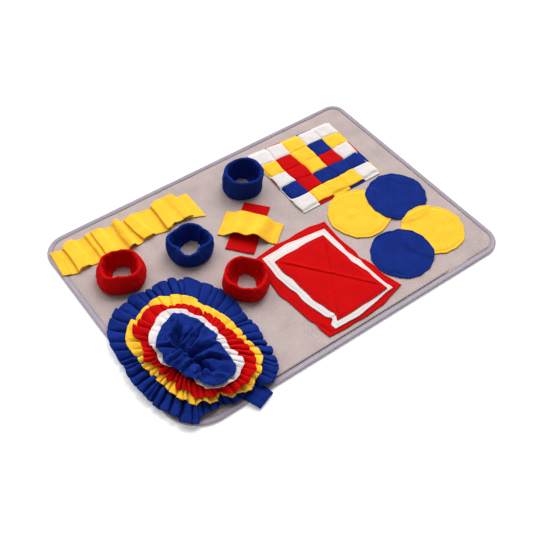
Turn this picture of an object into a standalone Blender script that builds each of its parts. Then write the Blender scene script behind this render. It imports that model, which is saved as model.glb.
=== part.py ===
"""Snuffle mat: a taped felt base, about 0.70 x 0.50 m, with fleece pieces sewn on its upper side.

Every size is in millimetres and becomes metres in make_solid(). +X runs along the long side,
+Y along the short side and +Z up. The origin is the middle of the base's flat underside.
"""

import math

import bmesh
import bpy

MM = 0.001
GAP = 0.3  # between two pieces that lie on each other

# Base: a felt pad whose thinned edge sits inside a folded tape.
MAT_LONG = 698.0
MAT_SHORT = 498.0
PAD_THICK = 4.5
CORNER_RADII = (28.0, 46.0, 72.0, 42.0)  # at +X+Y, -X+Y, -X-Y, +X-Y
CORNER_STEPS = 6
TAPE_WIDTH = 10.0
TAPE_THICK = 1.2
TAPE_HEIGHT = 5.2
ON_MAT = PAD_THICK + GAP  # lowest level of what is sewn to the mat

FLEECE = 1.8  # one layer of fleece

# Stand-up rings of fleece. sag and sag_side: where the rim dips, in degrees, and by how much.
TUBE_COLUMNS = ("name", "x", "y", "foot", "bulge", "rim", "height", "corners", "turn", "sag", "sag_side")
TUBES = (
    ("tube_red_left", -263, 93, 41, 45, 38, 36, 0.050, 20, 5, -70),
    ("tube_blue_left", -130, 75, 41, 43, 40, 38, 0.070, 35, 9, -60),
    ("tube_red_right", -94, -51, 40, 42, 39, 38, 0.050, -5, 7, -30),
    ("tube_blue_right", 46, 157, 40, 40, 38, 44, 0.020, 30, 3, -50),
)
TUBE_WALL = 8.0
TUBE_SEAM_WALL = 14.0  # wall at the foot, where the seam turns inwards
TUBE_SIDES = 24
RIM_UNEVEN = 0.8

# Rosette: ovals of gathered fleece, each sewn to the mat along its inner edge.
ROSETTE_X = -251.0
ROSETTE_Y = -118.0
RUFFLE_THICK = 1.6
OVAL_COLUMNS = ("half_x", "half_y", "square_far", "square_near", "shift_x", "shift_y", "skew")
RUFFLE_COLUMNS = (
    "name", *OVAL_COLUMNS, "sewn_x", "sewn_y", "crest", "edge", "wave", "pitch_left", "pitch_right",
)
RUFFLES = (
    ("ruffle_blue_outer", 113, 144, 2.2, 3.0, 5, 16, 0, 68, 98, 16.5, 12.0, 3.8, 10.5, 16.0),
    ("ruffle_yellow", 85, 122, 2.4, 2.5, 2, 2, -4, 52, 84, 24.0, 21.2, 2.0, 10.5, 14.0),
    ("ruffle_red", 76, 110, 2.3, 2.4, 0, -2, -4, 38, 70, 31.0, 28.4, 2.2, 10.0, 13.0),
    ("ruffle_white", 57, 91, 2.2, 2.2, -3, -8, -3, 24, 54, 37.0, 34.8, 1.8, 12.0, 14.0),
)
FRONT_DENT = (264.0, 20.0, 11.0)  # outer ruffle: middle and spread in degrees, and depth
PITCH_SPREAD = 0.34  # how much the width of a fold varies, and below how much its depth
SWING_MEAN = 0.68
SWING_SPREAD = 0.32
SEWN_SHIFT = 0.4  # share of an oval's shift that its sewn line has
CREST_REACH = 11.0  # from the sewn line out to the top of the ruffle
TUBE_CLEARANCE = 2.5

# The middle ruffle lies on the white one and is drawn in along one line.
MIDDLE_OVAL = (48.0, 81.0, 2.1, 2.1, -6.0, -17.0, -4.0)
MIDDLE_SEAM = (1.3, 46.0)
MIDDLE_LEVELS = (27.0, 41.0, 47.0, 41.5)  # seam, inner slope, crown, free edge
MIDDLE_WAVE = 3.4
MIDDLE_PITCH = 13.0

# Loose end of the outer ruffle, lying over the front edge of the mat.
TAIL_START = (-217.0, -226.0)
TAIL_END = (-204.0, -263.0)
TAIL_WIDTH = 40.0
TAIL_COLUMNS = ("share", "lift", "ridge")  # along the tail: rise above the tape, and of its middle
TAIL = (
    (0.00, 0.3, 0.0),
    (0.35, 0.3, 0.0),
    (0.60, 0.4, 0.0),
    (0.78, 0.3, 0.6),
    (1.00, -2.4, 1.4),
)

# Pleated strip. A row is a fold: the way it faces, its line at the far and the near edge of the
# strip, how far it tucks under, how high it stands, and the level its cloth falls to behind it.
STRIP_LEFT = (-341.0, -346.0)
STRIP_RIGHT = (-57.0, -59.0)
STRIP_FAR = (218.0, 204.0)
STRIP_NEAR = (152.0, 133.0)
STRIP_ON_TAPE = 16.0  # length at its left end that lies on the tape
PLEAT_COLUMNS = ("facing", "x_far", "x_near", "tuck", "rise", "fall")
PLEATS = (
    ("left", -316, -318, 18, 8.0, 0.4),
    ("hump", -267, -268, 9, 6.5, 0.3),
    ("left", -256, -259, 13, 7.5, 0.4),
    ("hump", -205, -208, 13, 9.0, 0.3),
    ("left", -190, -184, 17, 8.0, 0.4),
    ("left", -131, -136, 15, 8.5, 6.6),
    ("right", -81, -80, 12, 8.5, 6.6),
)
UNDER_TURN = 0.45  # height, as a share of the rise, at which the cloth under a pleat turns back
UNDER_EDGE = 0.5  # and that of the same layer at the pleat's edge
TOP_END = (2.5, 0.9)  # the top layer stays up this far past the turn, at this share of the rise
FALL_END = 9.0  # and has come down this far past it
PLEAT_GAPE = 0.3  # the folds stand this share higher at the near edge, where they are open
PLEAT_STATIONS = 4

# Crossed strips: the red one lies flat, and the yellow one arches over it.
CROSS_COLUMNS = ("name", "start", "end", "start_width", "end_width", "arch", "level")
CROSS = (
    ("cross_strip_red", (-59, 21), (36, 98), 54, 50, 0.0, 0.0),
    ("cross_strip_yellow", (-44, 98), (26, 11), 62, 50, 13.0, 0.3),
)
CROSS_STATIONS = 9

# Plain weave of five strips each way, inside four corners.
WEAVE_CORNERS = ((101, 217), (291, 203), (281, 30), (96, 32))
WEAVE_COUNT = 5
WEAVE_FILL = 0.9
WEAVE_THICK = 1.5
WEAVE_GAP = 0.4
WEAVE_CROWN = 3.0
WEAVE_OVERHANG = 0.02
WEAVE_DOWN = ("white", "red", "yellow", "blue", "white")  # strips along Y, left to right
WEAVE_ACROSS = ("white", "yellow", "red", "blue", "yellow")  # strips along X, far to near

# Round patches, from the lowest to the uppermost.
DISC_COLUMNS = ("name", "x", "y", "radius")
DISCS = (
    ("disc_yellow_left", 176, -37, 60),
    ("disc_blue_right", 264, -43, 59),
    ("disc_yellow_right", 267, -146, 59),
    ("disc_blue_left", 177, -159, 58),
)
DISC_SIDES = 24
DISC_RINGS = (0.3, 0.65, 1.0)
DRAPE_START = 28.0  # a patch starts to rise this far outside the edge of the one under it
DRAPE_END = 10.0
DRAPE_GAP = 0.6

# Envelope: three panels on each other, the upper one slit along both diagonals.
# A row's corners run far left, far right, near right, near left.
ENVELOPE_COLUMNS = ("name", "corners", "bow")
ENVELOPE = (
    ("envelope_back_red", ((-46, -12), (113, -12), (128, -211), (-46, -226)), (6, 9, -3, -6)),
    ("envelope_frame_white", ((-37, -20), (100, -27), (107, -206), (-28, -219)), (5, 4, -2, -5)),
    ("envelope_front_red", ((-24, -40), (88, -40), (102, -204), (-15, -208)), (3, 4, 1, -4)),
)
PANEL_STEPS = 6
SLIT_WIDTH = 1.0
SLIT_MARGIN = 9.0

# Colour and roughness of each cloth.
FINISHES = {
    "felt": ((0.56, 0.50, 0.49), 0.95),
    "tape": ((0.36, 0.35, 0.42), 0.80),
    "yellow": ((0.94, 0.70, 0.045), 0.90),
    "red": ((0.60, 0.010, 0.010), 0.90),
    "blue": ((0.012, 0.035, 0.26), 0.90),
    "white": ((0.85, 0.81, 0.79), 0.90),
}


# ------------------------------------------------------------------ solids
def rows(columns, table):
    """The rows of a table, each as a dictionary of its named columns."""
    return [dict(zip(columns, row)) for row in table]


def clear_scene():
    for old in list(bpy.data.objects):
        bpy.data.objects.remove(old, do_unlink=True)


def finish(name):
    material = bpy.data.materials.get(name)
    if material is None:
        colour, roughness = FINISHES[name]
        material = bpy.data.materials.new(name)
        material.use_nodes = True
        shader = material.node_tree.nodes["Principled BSDF"]
        shader.inputs["Base Color"].default_value = (*colour, 1.0)
        shader.inputs["Roughness"].default_value = roughness
        shader.inputs["Metallic"].default_value = 0.0
        material.diffuse_color = (*colour, 1.0)
    return material


def make_solid(name, points, faces, cloth):
    """A closed body from points in millimetres, its faces turned outwards."""
    mesh = bpy.data.meshes.new(name)
    mesh.from_pydata([[MM * value for value in point] for point in points], [], faces)
    body = bmesh.new()
    body.from_mesh(mesh)
    bmesh.ops.recalc_face_normals(body, faces=body.faces)
    body.to_mesh(mesh)
    body.free()
    mesh.materials.append(finish(cloth))
    mesh.shade_smooth()
    mesh.set_sharp_from_angle(angle=math.radians(40))
    solid = bpy.data.objects.new(name, mesh)
    bpy.context.scene.collection.objects.link(solid)
    return solid


def loft(name, sections, cloth, closed=False):
    """Joins closed outlines of equal length, into a ring if closed, else with flat ends."""
    size = len(sections[0])
    points = [point for section in sections for point in section]
    faces = []
    for index in range(len(sections) if closed else len(sections) - 1):
        here = index * size
        there = (index + 1) % len(sections) * size
        for side in range(size):
            after = (side + 1) % size
            faces.append((here + side, here + after, there + after, there + side))
    if not closed:
        last = (len(sections) - 1) * size
        faces.append(tuple(range(size)))
        faces.append(tuple(range(last, last + size)))
    return make_solid(name, points, faces, cloth)


def thicken(line, thickness):
    """The outline of a sheet seen edge on, around the line that runs in its middle."""
    upper, lower = [], []
    for index, (x, z) in enumerate(line):
        before = line[max(index - 1, 0)]
        after = line[min(index + 1, len(line) - 1)]
        normals = []
        for start, end in ((before, (x, z)), ((x, z), after)):
            run, rise = end[0] - start[0], end[1] - start[1]
            length = math.hypot(run, rise)
            if length > 0:
                normals.append((-rise / length, run / length))
        across = sum(normal[0] for normal in normals)
        up = sum(normal[1] for normal in normals)
        share = thickness / 2 * len(normals) / (across * across + up * up)
        upper.append((x + share * across, z + share * up))
        lower.append((x - share * across, z - share * up))
    return upper + lower[::-1]


def mix(start, end, share):
    return start + (end - start) * share


def smooth_step(low, high, value):
    share = min(max((value - low) / (high - low), 0.0), 1.0)
    return share * share * (3 - 2 * share)


def uneven(index, seed):
    """A repeatable value from -1 to 1 that keeps folds from being alike."""
    return math.sin(2.4 * index + seed) * math.cos(1.1 * index + 2.0 * seed)


def between_corners(corners, across, along):
    """A place inside four corners: far left, far right, near right, near left."""
    far = [mix(corners[0][axis], corners[1][axis], across) for axis in (0, 1)]
    near = [mix(corners[3][axis], corners[2][axis], across) for axis in (0, 1)]
    return mix(far[0], near[0], along), mix(far[1], near[1], along)


# -------------------------------------------------------------------- base
def mat_outline(inset, level):
    points = []
    corners = ((1, 1), (-1, 1), (-1, -1), (1, -1))
    for quarter, (radius, (side_x, side_y)) in enumerate(zip(CORNER_RADII, corners)):
        for step in range(CORNER_STEPS + 1):
            angle = math.radians(90) * (quarter + step / CORNER_STEPS)
            x = side_x * (MAT_LONG / 2 - radius) + (radius - inset) * math.cos(angle)
            y = side_y * (MAT_SHORT / 2 - radius) + (radius - inset) * math.sin(angle)
            points.append((x, y, level))
    return points


def build_pad():
    """Felt with a thinner tongue all round, so that the tape lies flush with its underside."""
    step = TAPE_WIDTH + GAP
    tongue = TAPE_THICK + 2 * GAP
    low = TAPE_THICK + GAP
    high = TAPE_HEIGHT - TAPE_THICK - GAP
    profile = ((step, 0), (step, low), (tongue, low), (tongue, high), (step, high), (step, PAD_THICK))
    loft("mat_pad", [mat_outline(inset, level) for inset, level in profile], "felt")


def build_binding():
    """One tape folded round the edge, open towards the middle of the mat."""
    bevel = TAPE_THICK
    profile = (
        (TAPE_WIDTH, 0),
        (bevel, 0),
        (0, bevel),
        (0, TAPE_HEIGHT - bevel),
        (bevel, TAPE_HEIGHT),
        (TAPE_WIDTH, TAPE_HEIGHT),
        (TAPE_WIDTH, TAPE_HEIGHT - TAPE_THICK),
        (TAPE_THICK, TAPE_HEIGHT - TAPE_THICK),
        (TAPE_THICK, TAPE_THICK),
        (TAPE_WIDTH, TAPE_THICK),
    )
    rings = [mat_outline(inset, level) for inset, level in profile]
    loft("edge_binding", rings, "tape", closed=True)


# ------------------------------------------------------------------- tubes
def build_tube(tube):
    """A band of doubled fleece sewn into a ring, soft and a little squared."""
    sections = []
    for side in range(TUBE_SIDES):
        angle = 2 * math.pi * side / TUBE_SIDES
        square = tube["corners"] * math.cos(4 * angle - 4 * math.radians(tube["turn"]))
        facing = max(0.0, math.cos(angle - math.radians(tube["sag_side"])))
        top = ON_MAT + tube["height"] - tube["sag"] * facing**6
        top += RIM_UNEVEN * uneven(side, tube["x"])
        middle = mix(ON_MAT, top, 0.45)
        shape = (
            (tube["foot"], ON_MAT, 0.4),
            (tube["bulge"], middle, 0.6),
            (tube["rim"] + 1.0, top - 5.0, 1.0),
            (tube["rim"] - 1.0, top - 1.2, 1.0),
            (tube["rim"] - TUBE_WALL / 2, top, 1.0),
            (tube["rim"] - TUBE_WALL + 1.0, top - 1.5, 1.0),
            (tube["rim"] - TUBE_WALL, top - 5.0, 1.0),
            (tube["rim"] - TUBE_WALL - 1.5, middle, 0.7),
            (tube["foot"] - TUBE_SEAM_WALL, ON_MAT, 0.5),
        )
        section = []
        for radius, level, share in shape:
            reach = radius * (1 + square * share)
            x = tube["x"] + reach * math.cos(angle)
            y = tube["y"] + reach * math.sin(angle)
            section.append((x, y, level))
        sections.append(section)
    loft(tube["name"], sections, "red" if "red" in tube["name"] else "blue", closed=True)


# ----------------------------------------------------------------- rosette
def oval(angle, half_x, half_y, square_far=2.0, square_near=2.0, shift_x=0.0, shift_y=0.0, skew=0.0):
    """Distance from the rosette's middle to a squared, shifted and slightly skewed oval."""
    squareness = square_far if math.sin(angle) > 0 else square_near
    across = abs(math.cos(angle) / half_x) ** squareness
    along = abs(math.sin(angle) / half_y) ** squareness
    reach = (across + along) ** (-1 / squareness)
    reach += shift_x * math.cos(angle) + shift_y * math.sin(angle)
    return reach + skew * math.sin(2 * angle)


def free_edge(angle, shape, dented=False):
    """Reach of a ruffle's free edge, which the outer ruffle has drawn in at the front."""
    reach = oval(angle, *shape)
    if dented:
        middle, spread, depth = FRONT_DENT
        away = (math.degrees(angle) - middle) / spread
        reach -= depth * math.exp(-away * away)
    return reach


def clear_of_tubes(angle, reach):
    """Shortens a ruffle where a tube stands in its way."""
    for tube in rows(TUBE_COLUMNS, TUBES):
        away_x, away_y = tube["x"] - ROSETTE_X, tube["y"] - ROSETTE_Y
        along = away_x * math.cos(angle) + away_y * math.sin(angle)
        beside = away_y * math.cos(angle) - away_x * math.sin(angle)
        radius = tube["bulge"] * (1 + tube["corners"]) + TUBE_CLEARANCE
        if along > 0 and abs(beside) < radius:
            reach = min(reach, along - math.sqrt(radius**2 - beside**2))
    return reach


def fold_angles(pitch_left, pitch_right, reach):
    """Angles of the folds round an oval, closer together on its left side."""
    angles = [0.0]
    while angles[-1] < 2 * math.pi:
        angle = angles[-1]
        pitch = mix(pitch_right, pitch_left, 0.5 - 0.5 * math.cos(angle))
        pitch *= 1 + PITCH_SPREAD * uneven(len(angles), pitch_right)
        angles.append(angle + pitch / reach(angle))
    stretch = 2 * math.pi / angles[-1]
    return [angle * stretch for angle in angles[:-1]]


def on_rosette(angle, reach, level):
    x = ROSETTE_X + reach * math.cos(angle)
    y = ROSETTE_Y + reach * math.sin(angle)
    return x, y, level


def gather(name, folds, line_at, cloth):
    """A ring of folds: at each fold one section on its ridge and one in its valley."""
    sections = []
    for index, start in enumerate(folds):
        end = folds[index + 1] if index + 1 < len(folds) else 2 * math.pi
        for place, side in ((0.25, 1.0), (0.75, -1.0)):
            angle = mix(start, end, place)
            swing = side * (SWING_MEAN + SWING_SPREAD * uneven(index, len(name)))
            outline = thicken(line_at(angle, swing), RUFFLE_THICK)
            sections.append([on_rosette(angle, reach, level) for reach, level in outline])
    loft(name, sections, cloth, closed=True)


def build_ruffle(ruffle):
    """Sewn to the mat at its inner edge, rising to a crest and falling outwards."""
    shape = [ruffle[column] for column in OVAL_COLUMNS]
    shift_x, shift_y = SEWN_SHIFT * ruffle["shift_x"], SEWN_SHIFT * ruffle["shift_y"]
    foot = ON_MAT + RUFFLE_THICK / 2 + GAP

    def edge_at(angle):
        return free_edge(angle, shape, dented=ruffle["name"] == "ruffle_blue_outer")

    def line_at(angle, swing):
        sewn = oval(angle, ruffle["sewn_x"], ruffle["sewn_y"], shift_x=shift_x, shift_y=shift_y)
        wave = ruffle["wave"] * swing
        reach = clear_of_tubes(angle, edge_at(angle) + 0.8 * wave)
        crest = sewn + CREST_REACH
        return (
            (sewn, foot),
            (sewn + 3.5, mix(foot, ruffle["crest"], 0.6)),
            (crest, ruffle["crest"] + 0.15 * wave),
            (mix(crest, reach, 0.55), mix(ruffle["crest"], ruffle["edge"], 0.4) + 0.55 * wave),
            (reach, ruffle["edge"] + wave),
        )

    folds = fold_angles(ruffle["pitch_left"], ruffle["pitch_right"], edge_at)
    gather(ruffle["name"], folds, line_at, ruffle["name"].split("_")[1])


def build_middle_ruffle():
    """The uppermost ruffle: folds run from a long seam up over a crown to the free edge."""
    seam_level, slope_level, crown_level, edge_level = MIDDLE_LEVELS

    def edge_at(angle):
        return oval(angle, *MIDDLE_OVAL)

    def line_at(angle, swing):
        edge = edge_at(angle) + 0.8 * MIDDLE_WAVE * swing
        seam = oval(angle, *MIDDLE_SEAM)
        wave = MIDDLE_WAVE * swing
        return (
            (seam, seam_level),
            (mix(seam, edge, 0.3), slope_level + 0.4 * wave),
            (mix(seam, edge, 0.65), crown_level + 0.8 * wave),
            (edge, edge_level + 0.7 * wave),
        )

    folds = fold_angles(MIDDLE_PITCH, MIDDLE_PITCH, edge_at)
    gather("ruffle_blue_middle", folds, line_at, "blue")


def build_tail():
    """A short flat end of the outer strip that drops over the taped edge."""
    run_x, run_y = TAIL_END[0] - TAIL_START[0], TAIL_END[1] - TAIL_START[1]
    length = math.hypot(run_x, run_y)
    sections = []
    for station in rows(TAIL_COLUMNS, TAIL):
        share = station["share"]
        half = TAIL_WIDTH / 2 * (1 - 0.1 * share)
        section = []
        for side, level in ((-1, 0), (0, 0), (1, 0), (1, 1), (0, 1), (-1, 1)):
            x = mix(TAIL_START[0], TAIL_END[0], share) - side * half * run_y / length
            y = mix(TAIL_START[1], TAIL_END[1], share) + side * half * run_x / length
            ridge = station["ridge"] if side == 0 else 0.0
            bottom = TAPE_HEIGHT + station["lift"] + ridge
            section.append((x, y, bottom + level * RUFFLE_THICK))
        sections.append(section)
    loft("ruffle_tail_blue", sections, "blue")


# ----------------------------------------------------------- pleated strip
def pleat_line(share):
    """The strip's section between its far edge, at 0, and its near edge, at 1."""
    low = ON_MAT + FLEECE / 2
    gape = 1 + PLEAT_GAPE * share
    left = mix(*STRIP_LEFT, share)
    raised = low + TAPE_HEIGHT - PAD_THICK + GAP
    line = [(left, raised), (left + STRIP_ON_TAPE - 4, raised), (left + STRIP_ON_TAPE, low)]
    for pleat in rows(PLEAT_COLUMNS, PLEATS):
        edge = mix(pleat["x_far"], pleat["x_near"], share)
        rise, tuck = pleat["rise"] * gape, pleat["tuck"]
        if pleat["facing"] == "hump":
            line += [(edge - tuck, low + 0.2), (edge - 0.5 * tuck, low + 0.85 * rise)]
            line += [(edge + 0.35 * tuck, low + rise), (edge + 0.9 * tuck, low + pleat["fall"])]
            continue
        inward = 1 if pleat["facing"] == "left" else -1
        turn, top_end = edge + inward * tuck, edge + inward * (tuck + TOP_END[0])
        fold = [(turn, low), (turn, low + UNDER_TURN * rise), (edge, low + UNDER_EDGE * rise)]
        fold += [(edge, low + rise), (top_end, low + TOP_END[1] * rise)]
        fold += [(edge + inward * (tuck + FALL_END), low + pleat["fall"])]
        line += fold[::inward]
    return line + [(mix(*STRIP_RIGHT, share), low)]


def build_pleats():
    sections = []
    for station in range(PLEAT_STATIONS):
        share = station / (PLEAT_STATIONS - 1)
        section = []
        for x, level in thicken(pleat_line(share), FLEECE):
            along = (x - STRIP_LEFT[0]) / (STRIP_RIGHT[0] - STRIP_LEFT[0])
            y = mix(mix(*STRIP_FAR, along), mix(*STRIP_NEAR, along), share)
            section.append((x, y, max(level, ON_MAT)))
        sections.append(section)
    loft("pleated_strip_yellow", sections, "yellow")


# ----------------------------------------------------------- crossed strips
def build_cross_strip(strip):
    (start_x, start_y), (end_x, end_y) = strip["start"], strip["end"]
    length = math.hypot(end_x - start_x, end_y - start_y)
    side_x, side_y = (start_y - end_y) / length, (end_x - start_x) / length
    sections = []
    for station in range(CROSS_STATIONS):
        share = station / (CROSS_STATIONS - 1)
        half = mix(strip["start_width"], strip["end_width"], share) / 2
        raised = smooth_step(0.08, 0.3, share) * smooth_step(0.0, 0.22, 0.9 - share)
        section = []
        for side, layer in ((-1, 0), (0, 0), (1, 0), (1, 1), (0, 1), (-1, 1)):
            x = mix(start_x, end_x, share) + side * half * side_x
            y = mix(start_y, end_y, share) + side * half * side_y
            level = ON_MAT + strip["level"] + raised * strip["arch"] * (1 - 0.12 * side)
            section.append((x, y, level + layer * FLEECE))
        sections.append(section)
    loft(strip["name"], sections, strip["name"].split("_")[-1])


# ------------------------------------------------------------------- weave
def weave_stations(first_on_top):
    """Places and levels along one strip: above and below the other strips in turn."""
    under = ON_MAT
    over = ON_MAT + WEAVE_THICK + WEAVE_GAP
    half_gap = (1 - WEAVE_FILL) / 2 / WEAVE_COUNT
    inset = 0.9 * half_gap
    stations = []
    for crossing in range(WEAVE_COUNT):
        start = crossing / WEAVE_COUNT + (half_gap - inset)
        end = (crossing + 1) / WEAVE_COUNT - (half_gap - inset)
        on_top = (crossing % 2 == 0) == first_on_top
        level = over if on_top else under
        stations.append((start + inset, level))
        if on_top:
            crown = WEAVE_CROWN * (1 + 0.25 * uneven(crossing, 3.0))
            stations.append((mix(start, end, 0.3), level + crown))
            stations.append((mix(start, end, 0.7), level + crown))
        stations.append((end - inset, level))
    first, last = stations[0], stations[-1]
    return [(first[0] - WEAVE_OVERHANG, first[1])] + stations + [(last[0] + WEAVE_OVERHANG, last[1])]


def build_weave_strip(name, cloth, index, down):
    """One strip of the weave, along Y when down is true and along X otherwise."""
    middle = (index + 0.5) / WEAVE_COUNT
    half = WEAVE_FILL / 2 / WEAVE_COUNT
    sections = []
    for along, level in weave_stations((index % 2 == 0) == down):
        section = []
        for side, layer in ((-1, 0), (1, 0), (1, 1), (-1, 1)):
            across = middle + side * half
            place = (across, along) if down else (along, across)
            x, y = between_corners(WEAVE_CORNERS, *place)
            section.append((x, y, level + layer * WEAVE_THICK))
        sections.append(section)
    loft(name, sections, cloth)


def build_weave():
    for index in range(WEAVE_COUNT):
        cloth = WEAVE_DOWN[index]
        build_weave_strip(f"weave_down_{index + 1}_{cloth}", cloth, index, True)
        cloth = WEAVE_ACROSS[index]
        build_weave_strip(f"weave_across_{index + 1}_{cloth}", cloth, index, False)


# ------------------------------------------------------------------- discs
def disc_level(count, x, y):
    """Underside of a patch at a place, over the first count patches."""
    level = ON_MAT
    for lower, disc in enumerate(rows(DISC_COLUMNS, DISCS[:count])):
        outside = math.hypot(x - disc["x"], y - disc["y"]) - disc["radius"]
        raised = 1 - smooth_step(DRAPE_END, DRAPE_START, outside)
        top = disc_level(lower, x, y) + FLEECE + DRAPE_GAP
        level = max(level, mix(ON_MAT, top, raised))
    return level


def build_disc(order, disc):
    def ring(share, layer):
        points = []
        for side in range(DISC_SIDES):
            angle = 2 * math.pi * side / DISC_SIDES
            reach = share * disc["radius"] * (1 + 0.012 * uneven(side, disc["x"]))
            x = disc["x"] + reach * math.cos(angle)
            y = disc["y"] + reach * math.sin(angle)
            points.append((x, y, disc_level(order, x, y) + layer * FLEECE))
        return points

    rings = [ring(share, 0) for share in DISC_RINGS]
    rings += [ring(share, 1) for share in reversed(DISC_RINGS)]
    loft(disc["name"], rings, disc["name"].split("_")[1])


# ---------------------------------------------------------------- envelope
def build_panel(order, panel):
    """A four-sided panel whose edges bow by so much, far, right, near and left."""
    bow_far, bow_right, bow_near, bow_left = panel["bow"]
    level = ON_MAT + order * (FLEECE + GAP)
    count = PANEL_STEPS + 1
    points = []
    for layer in (0, 1):
        for down in range(count):
            for across in range(count):
                along_x, along_y = across / PANEL_STEPS, down / PANEL_STEPS
                x, y = between_corners(panel["corners"], along_x, along_y)
                swell_x, swell_y = math.sin(math.pi * along_x), math.sin(math.pi * along_y)
                x += swell_y * mix(bow_left, -bow_right, along_x)
                y += swell_x * mix(bow_far, bow_near, along_y)
                points.append((x, y, level + layer * FLEECE))
    below = count * count
    faces = []
    for down in range(PANEL_STEPS):
        for across in range(PANEL_STEPS):
            a = down * count + across
            quad = (a, a + 1, a + count + 1, a + count)
            faces.append(quad)
            faces.append(tuple(index + below for index in quad[::-1]))
    rim = [across for across in range(count)]
    rim += [down * count + PANEL_STEPS for down in range(1, count)]
    rim += [PANEL_STEPS * count + across for across in range(PANEL_STEPS - 1, -1, -1)]
    rim += [down * count for down in range(PANEL_STEPS - 1, 0, -1)]
    for here, there in zip(rim, rim[1:] + rim[:1]):
        faces.append((here, there, there + below, here + below))
    return make_solid(panel["name"], points, faces, panel["name"].split("_")[-1])


def cut_slit(panel, start, end, level):
    """Cuts a narrow slit between two places, short of each by the margin."""
    length = math.hypot(end[0] - start[0], end[1] - start[1])
    run_x, run_y = (end[0] - start[0]) / length, (end[1] - start[1]) / length
    sections = []
    for along in (SLIT_MARGIN, length - SLIT_MARGIN):
        section = []
        for side, height in ((-1, -FLEECE), (1, -FLEECE), (1, 2 * FLEECE), (-1, 2 * FLEECE)):
            x = start[0] + along * run_x - side * SLIT_WIDTH / 2 * run_y
            y = start[1] + along * run_y + side * SLIT_WIDTH / 2 * run_x
            section.append((x, y, level + height))
        sections.append(section)
    cutter = loft(f"{panel.name}_slit", sections, "red")
    cutter.hide_render = True
    cutter.display_type = "WIRE"
    slit = panel.modifiers.new("slit", "BOOLEAN")
    slit.operation = "DIFFERENCE"
    slit.solver = "EXACT"
    slit.object = cutter


def build_envelope():
    for order, panel in enumerate(rows(ENVELOPE_COLUMNS, ENVELOPE)):
        solid = build_panel(order, panel)
        if order == len(ENVELOPE) - 1:
            level = ON_MAT + order * (FLEECE + GAP)
            corners = panel["corners"]
            cut_slit(solid, corners[0], corners[2], level)
            cut_slit(solid, corners[1], corners[3], level)


def main():
    clear_scene()
    build_pad()
    build_binding()
    build_pleats()
    for tube in rows(TUBE_COLUMNS, TUBES):
        build_tube(tube)
    for strip in rows(CROSS_COLUMNS, CROSS):
        build_cross_strip(strip)
    build_weave()
    for order, disc in enumerate(rows(DISC_COLUMNS, DISCS)):
        build_disc(order, disc)
    build_envelope()
    for ruffle in rows(RUFFLE_COLUMNS, RUFFLES):
        build_ruffle(ruffle)
    build_middle_ruffle()
    build_tail()


main()
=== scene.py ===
"""Snuffle mat, dressed: felt with a taped edge, and fleece pleats, rings, ribbons, patches, panels
and ruffles sewn on it. Tables are in millimetres and degrees; meshes are in metres.
"""

import math

import bpy
import numpy as np
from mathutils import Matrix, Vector, noise


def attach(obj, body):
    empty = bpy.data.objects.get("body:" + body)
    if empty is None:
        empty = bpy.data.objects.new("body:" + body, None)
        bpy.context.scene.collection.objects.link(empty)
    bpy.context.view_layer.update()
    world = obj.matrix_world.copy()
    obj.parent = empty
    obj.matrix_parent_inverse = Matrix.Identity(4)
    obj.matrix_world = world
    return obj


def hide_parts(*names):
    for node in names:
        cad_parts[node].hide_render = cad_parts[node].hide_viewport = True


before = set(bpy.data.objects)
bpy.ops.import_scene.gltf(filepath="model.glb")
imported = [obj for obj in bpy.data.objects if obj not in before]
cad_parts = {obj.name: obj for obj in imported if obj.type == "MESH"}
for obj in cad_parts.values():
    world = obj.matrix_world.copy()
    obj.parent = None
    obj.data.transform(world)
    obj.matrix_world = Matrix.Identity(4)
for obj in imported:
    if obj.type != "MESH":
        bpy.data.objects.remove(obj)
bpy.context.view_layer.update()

MM = 0.001
ON_MAT = 4.8  # level of the lowest cloth on the felt
FLEECE = 1.8


# ------------------------------------------------------------ small helpers
def rows(columns, table):
    return [dict(zip(columns, row)) for row in table]


def mix(start, end, share):
    return start + (end - start) * share


def smooth(low, high, value):
    share = np.clip((value - low) / (high - low), 0.0, 1.0)
    return share * share * (3 - 2 * share)


def bump(value, middle, spread):
    """A soft ridge of height 1 round a middle."""
    return np.exp(-(((value - middle) / spread) ** 2))


def uneven(index, seed):
    """A repeatable value from -1 to 1 that keeps folds and edges from being alike."""
    return np.sin(2.4 * index + seed) * np.cos(1.1 * index + 2.0 * seed)


def along_curve(points, count):
    """Count places on a smooth open curve through the points, evenly spaced by point."""
    points = np.array(points, float)
    ends = 2 * points[:1] - points[1:2], 2 * points[-1:] - points[-2:-1]
    padded = np.concatenate([ends[0], points, ends[1]])
    place = np.linspace(0, len(points) - 1, count)
    step = np.minimum(place.astype(int), len(points) - 2)
    t = (place - step)[:, None]
    a, b, c, d = (padded[step + offset] for offset in range(4))
    bend = (2 * a - 5 * b + 4 * c - d) * t**2 + (3 * b - a - 3 * c + d) * t**3
    return b + 0.5 * ((c - a) * t + bend)


def ring_values(angles, table):
    """Values read between rows of (degrees, value) that run round a full turn."""
    table = sorted(table)
    around = [table[-1][0] - 360] + [row[0] for row in table] + [table[0][0] + 360]
    values = [table[-1][1]] + [row[1] for row in table] + [table[0][1]]
    return np.interp(np.mod(angles, 360), around, values)


def beside_line(x, y, places):
    """Distance of every point from a line through a few places, above 0 on its left."""
    beside = np.full(np.shape(x), 1e9)
    for (start_x, start_y), (end_x, end_y) in zip(places, places[1:]):
        run_x, run_y = end_x - start_x, end_y - start_y
        share = ((x - start_x) * run_x + (y - start_y) * run_y) / (run_x**2 + run_y**2)
        share = np.clip(share, 0, 1)
        away = np.hypot(x - start_x - share * run_x, y - start_y - share * run_y)
        left = run_x * (y - start_y) - run_y * (x - start_x)
        beside = np.where(away < np.abs(beside), np.where(left < 0, -away, away), beside)
    return beside


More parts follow.
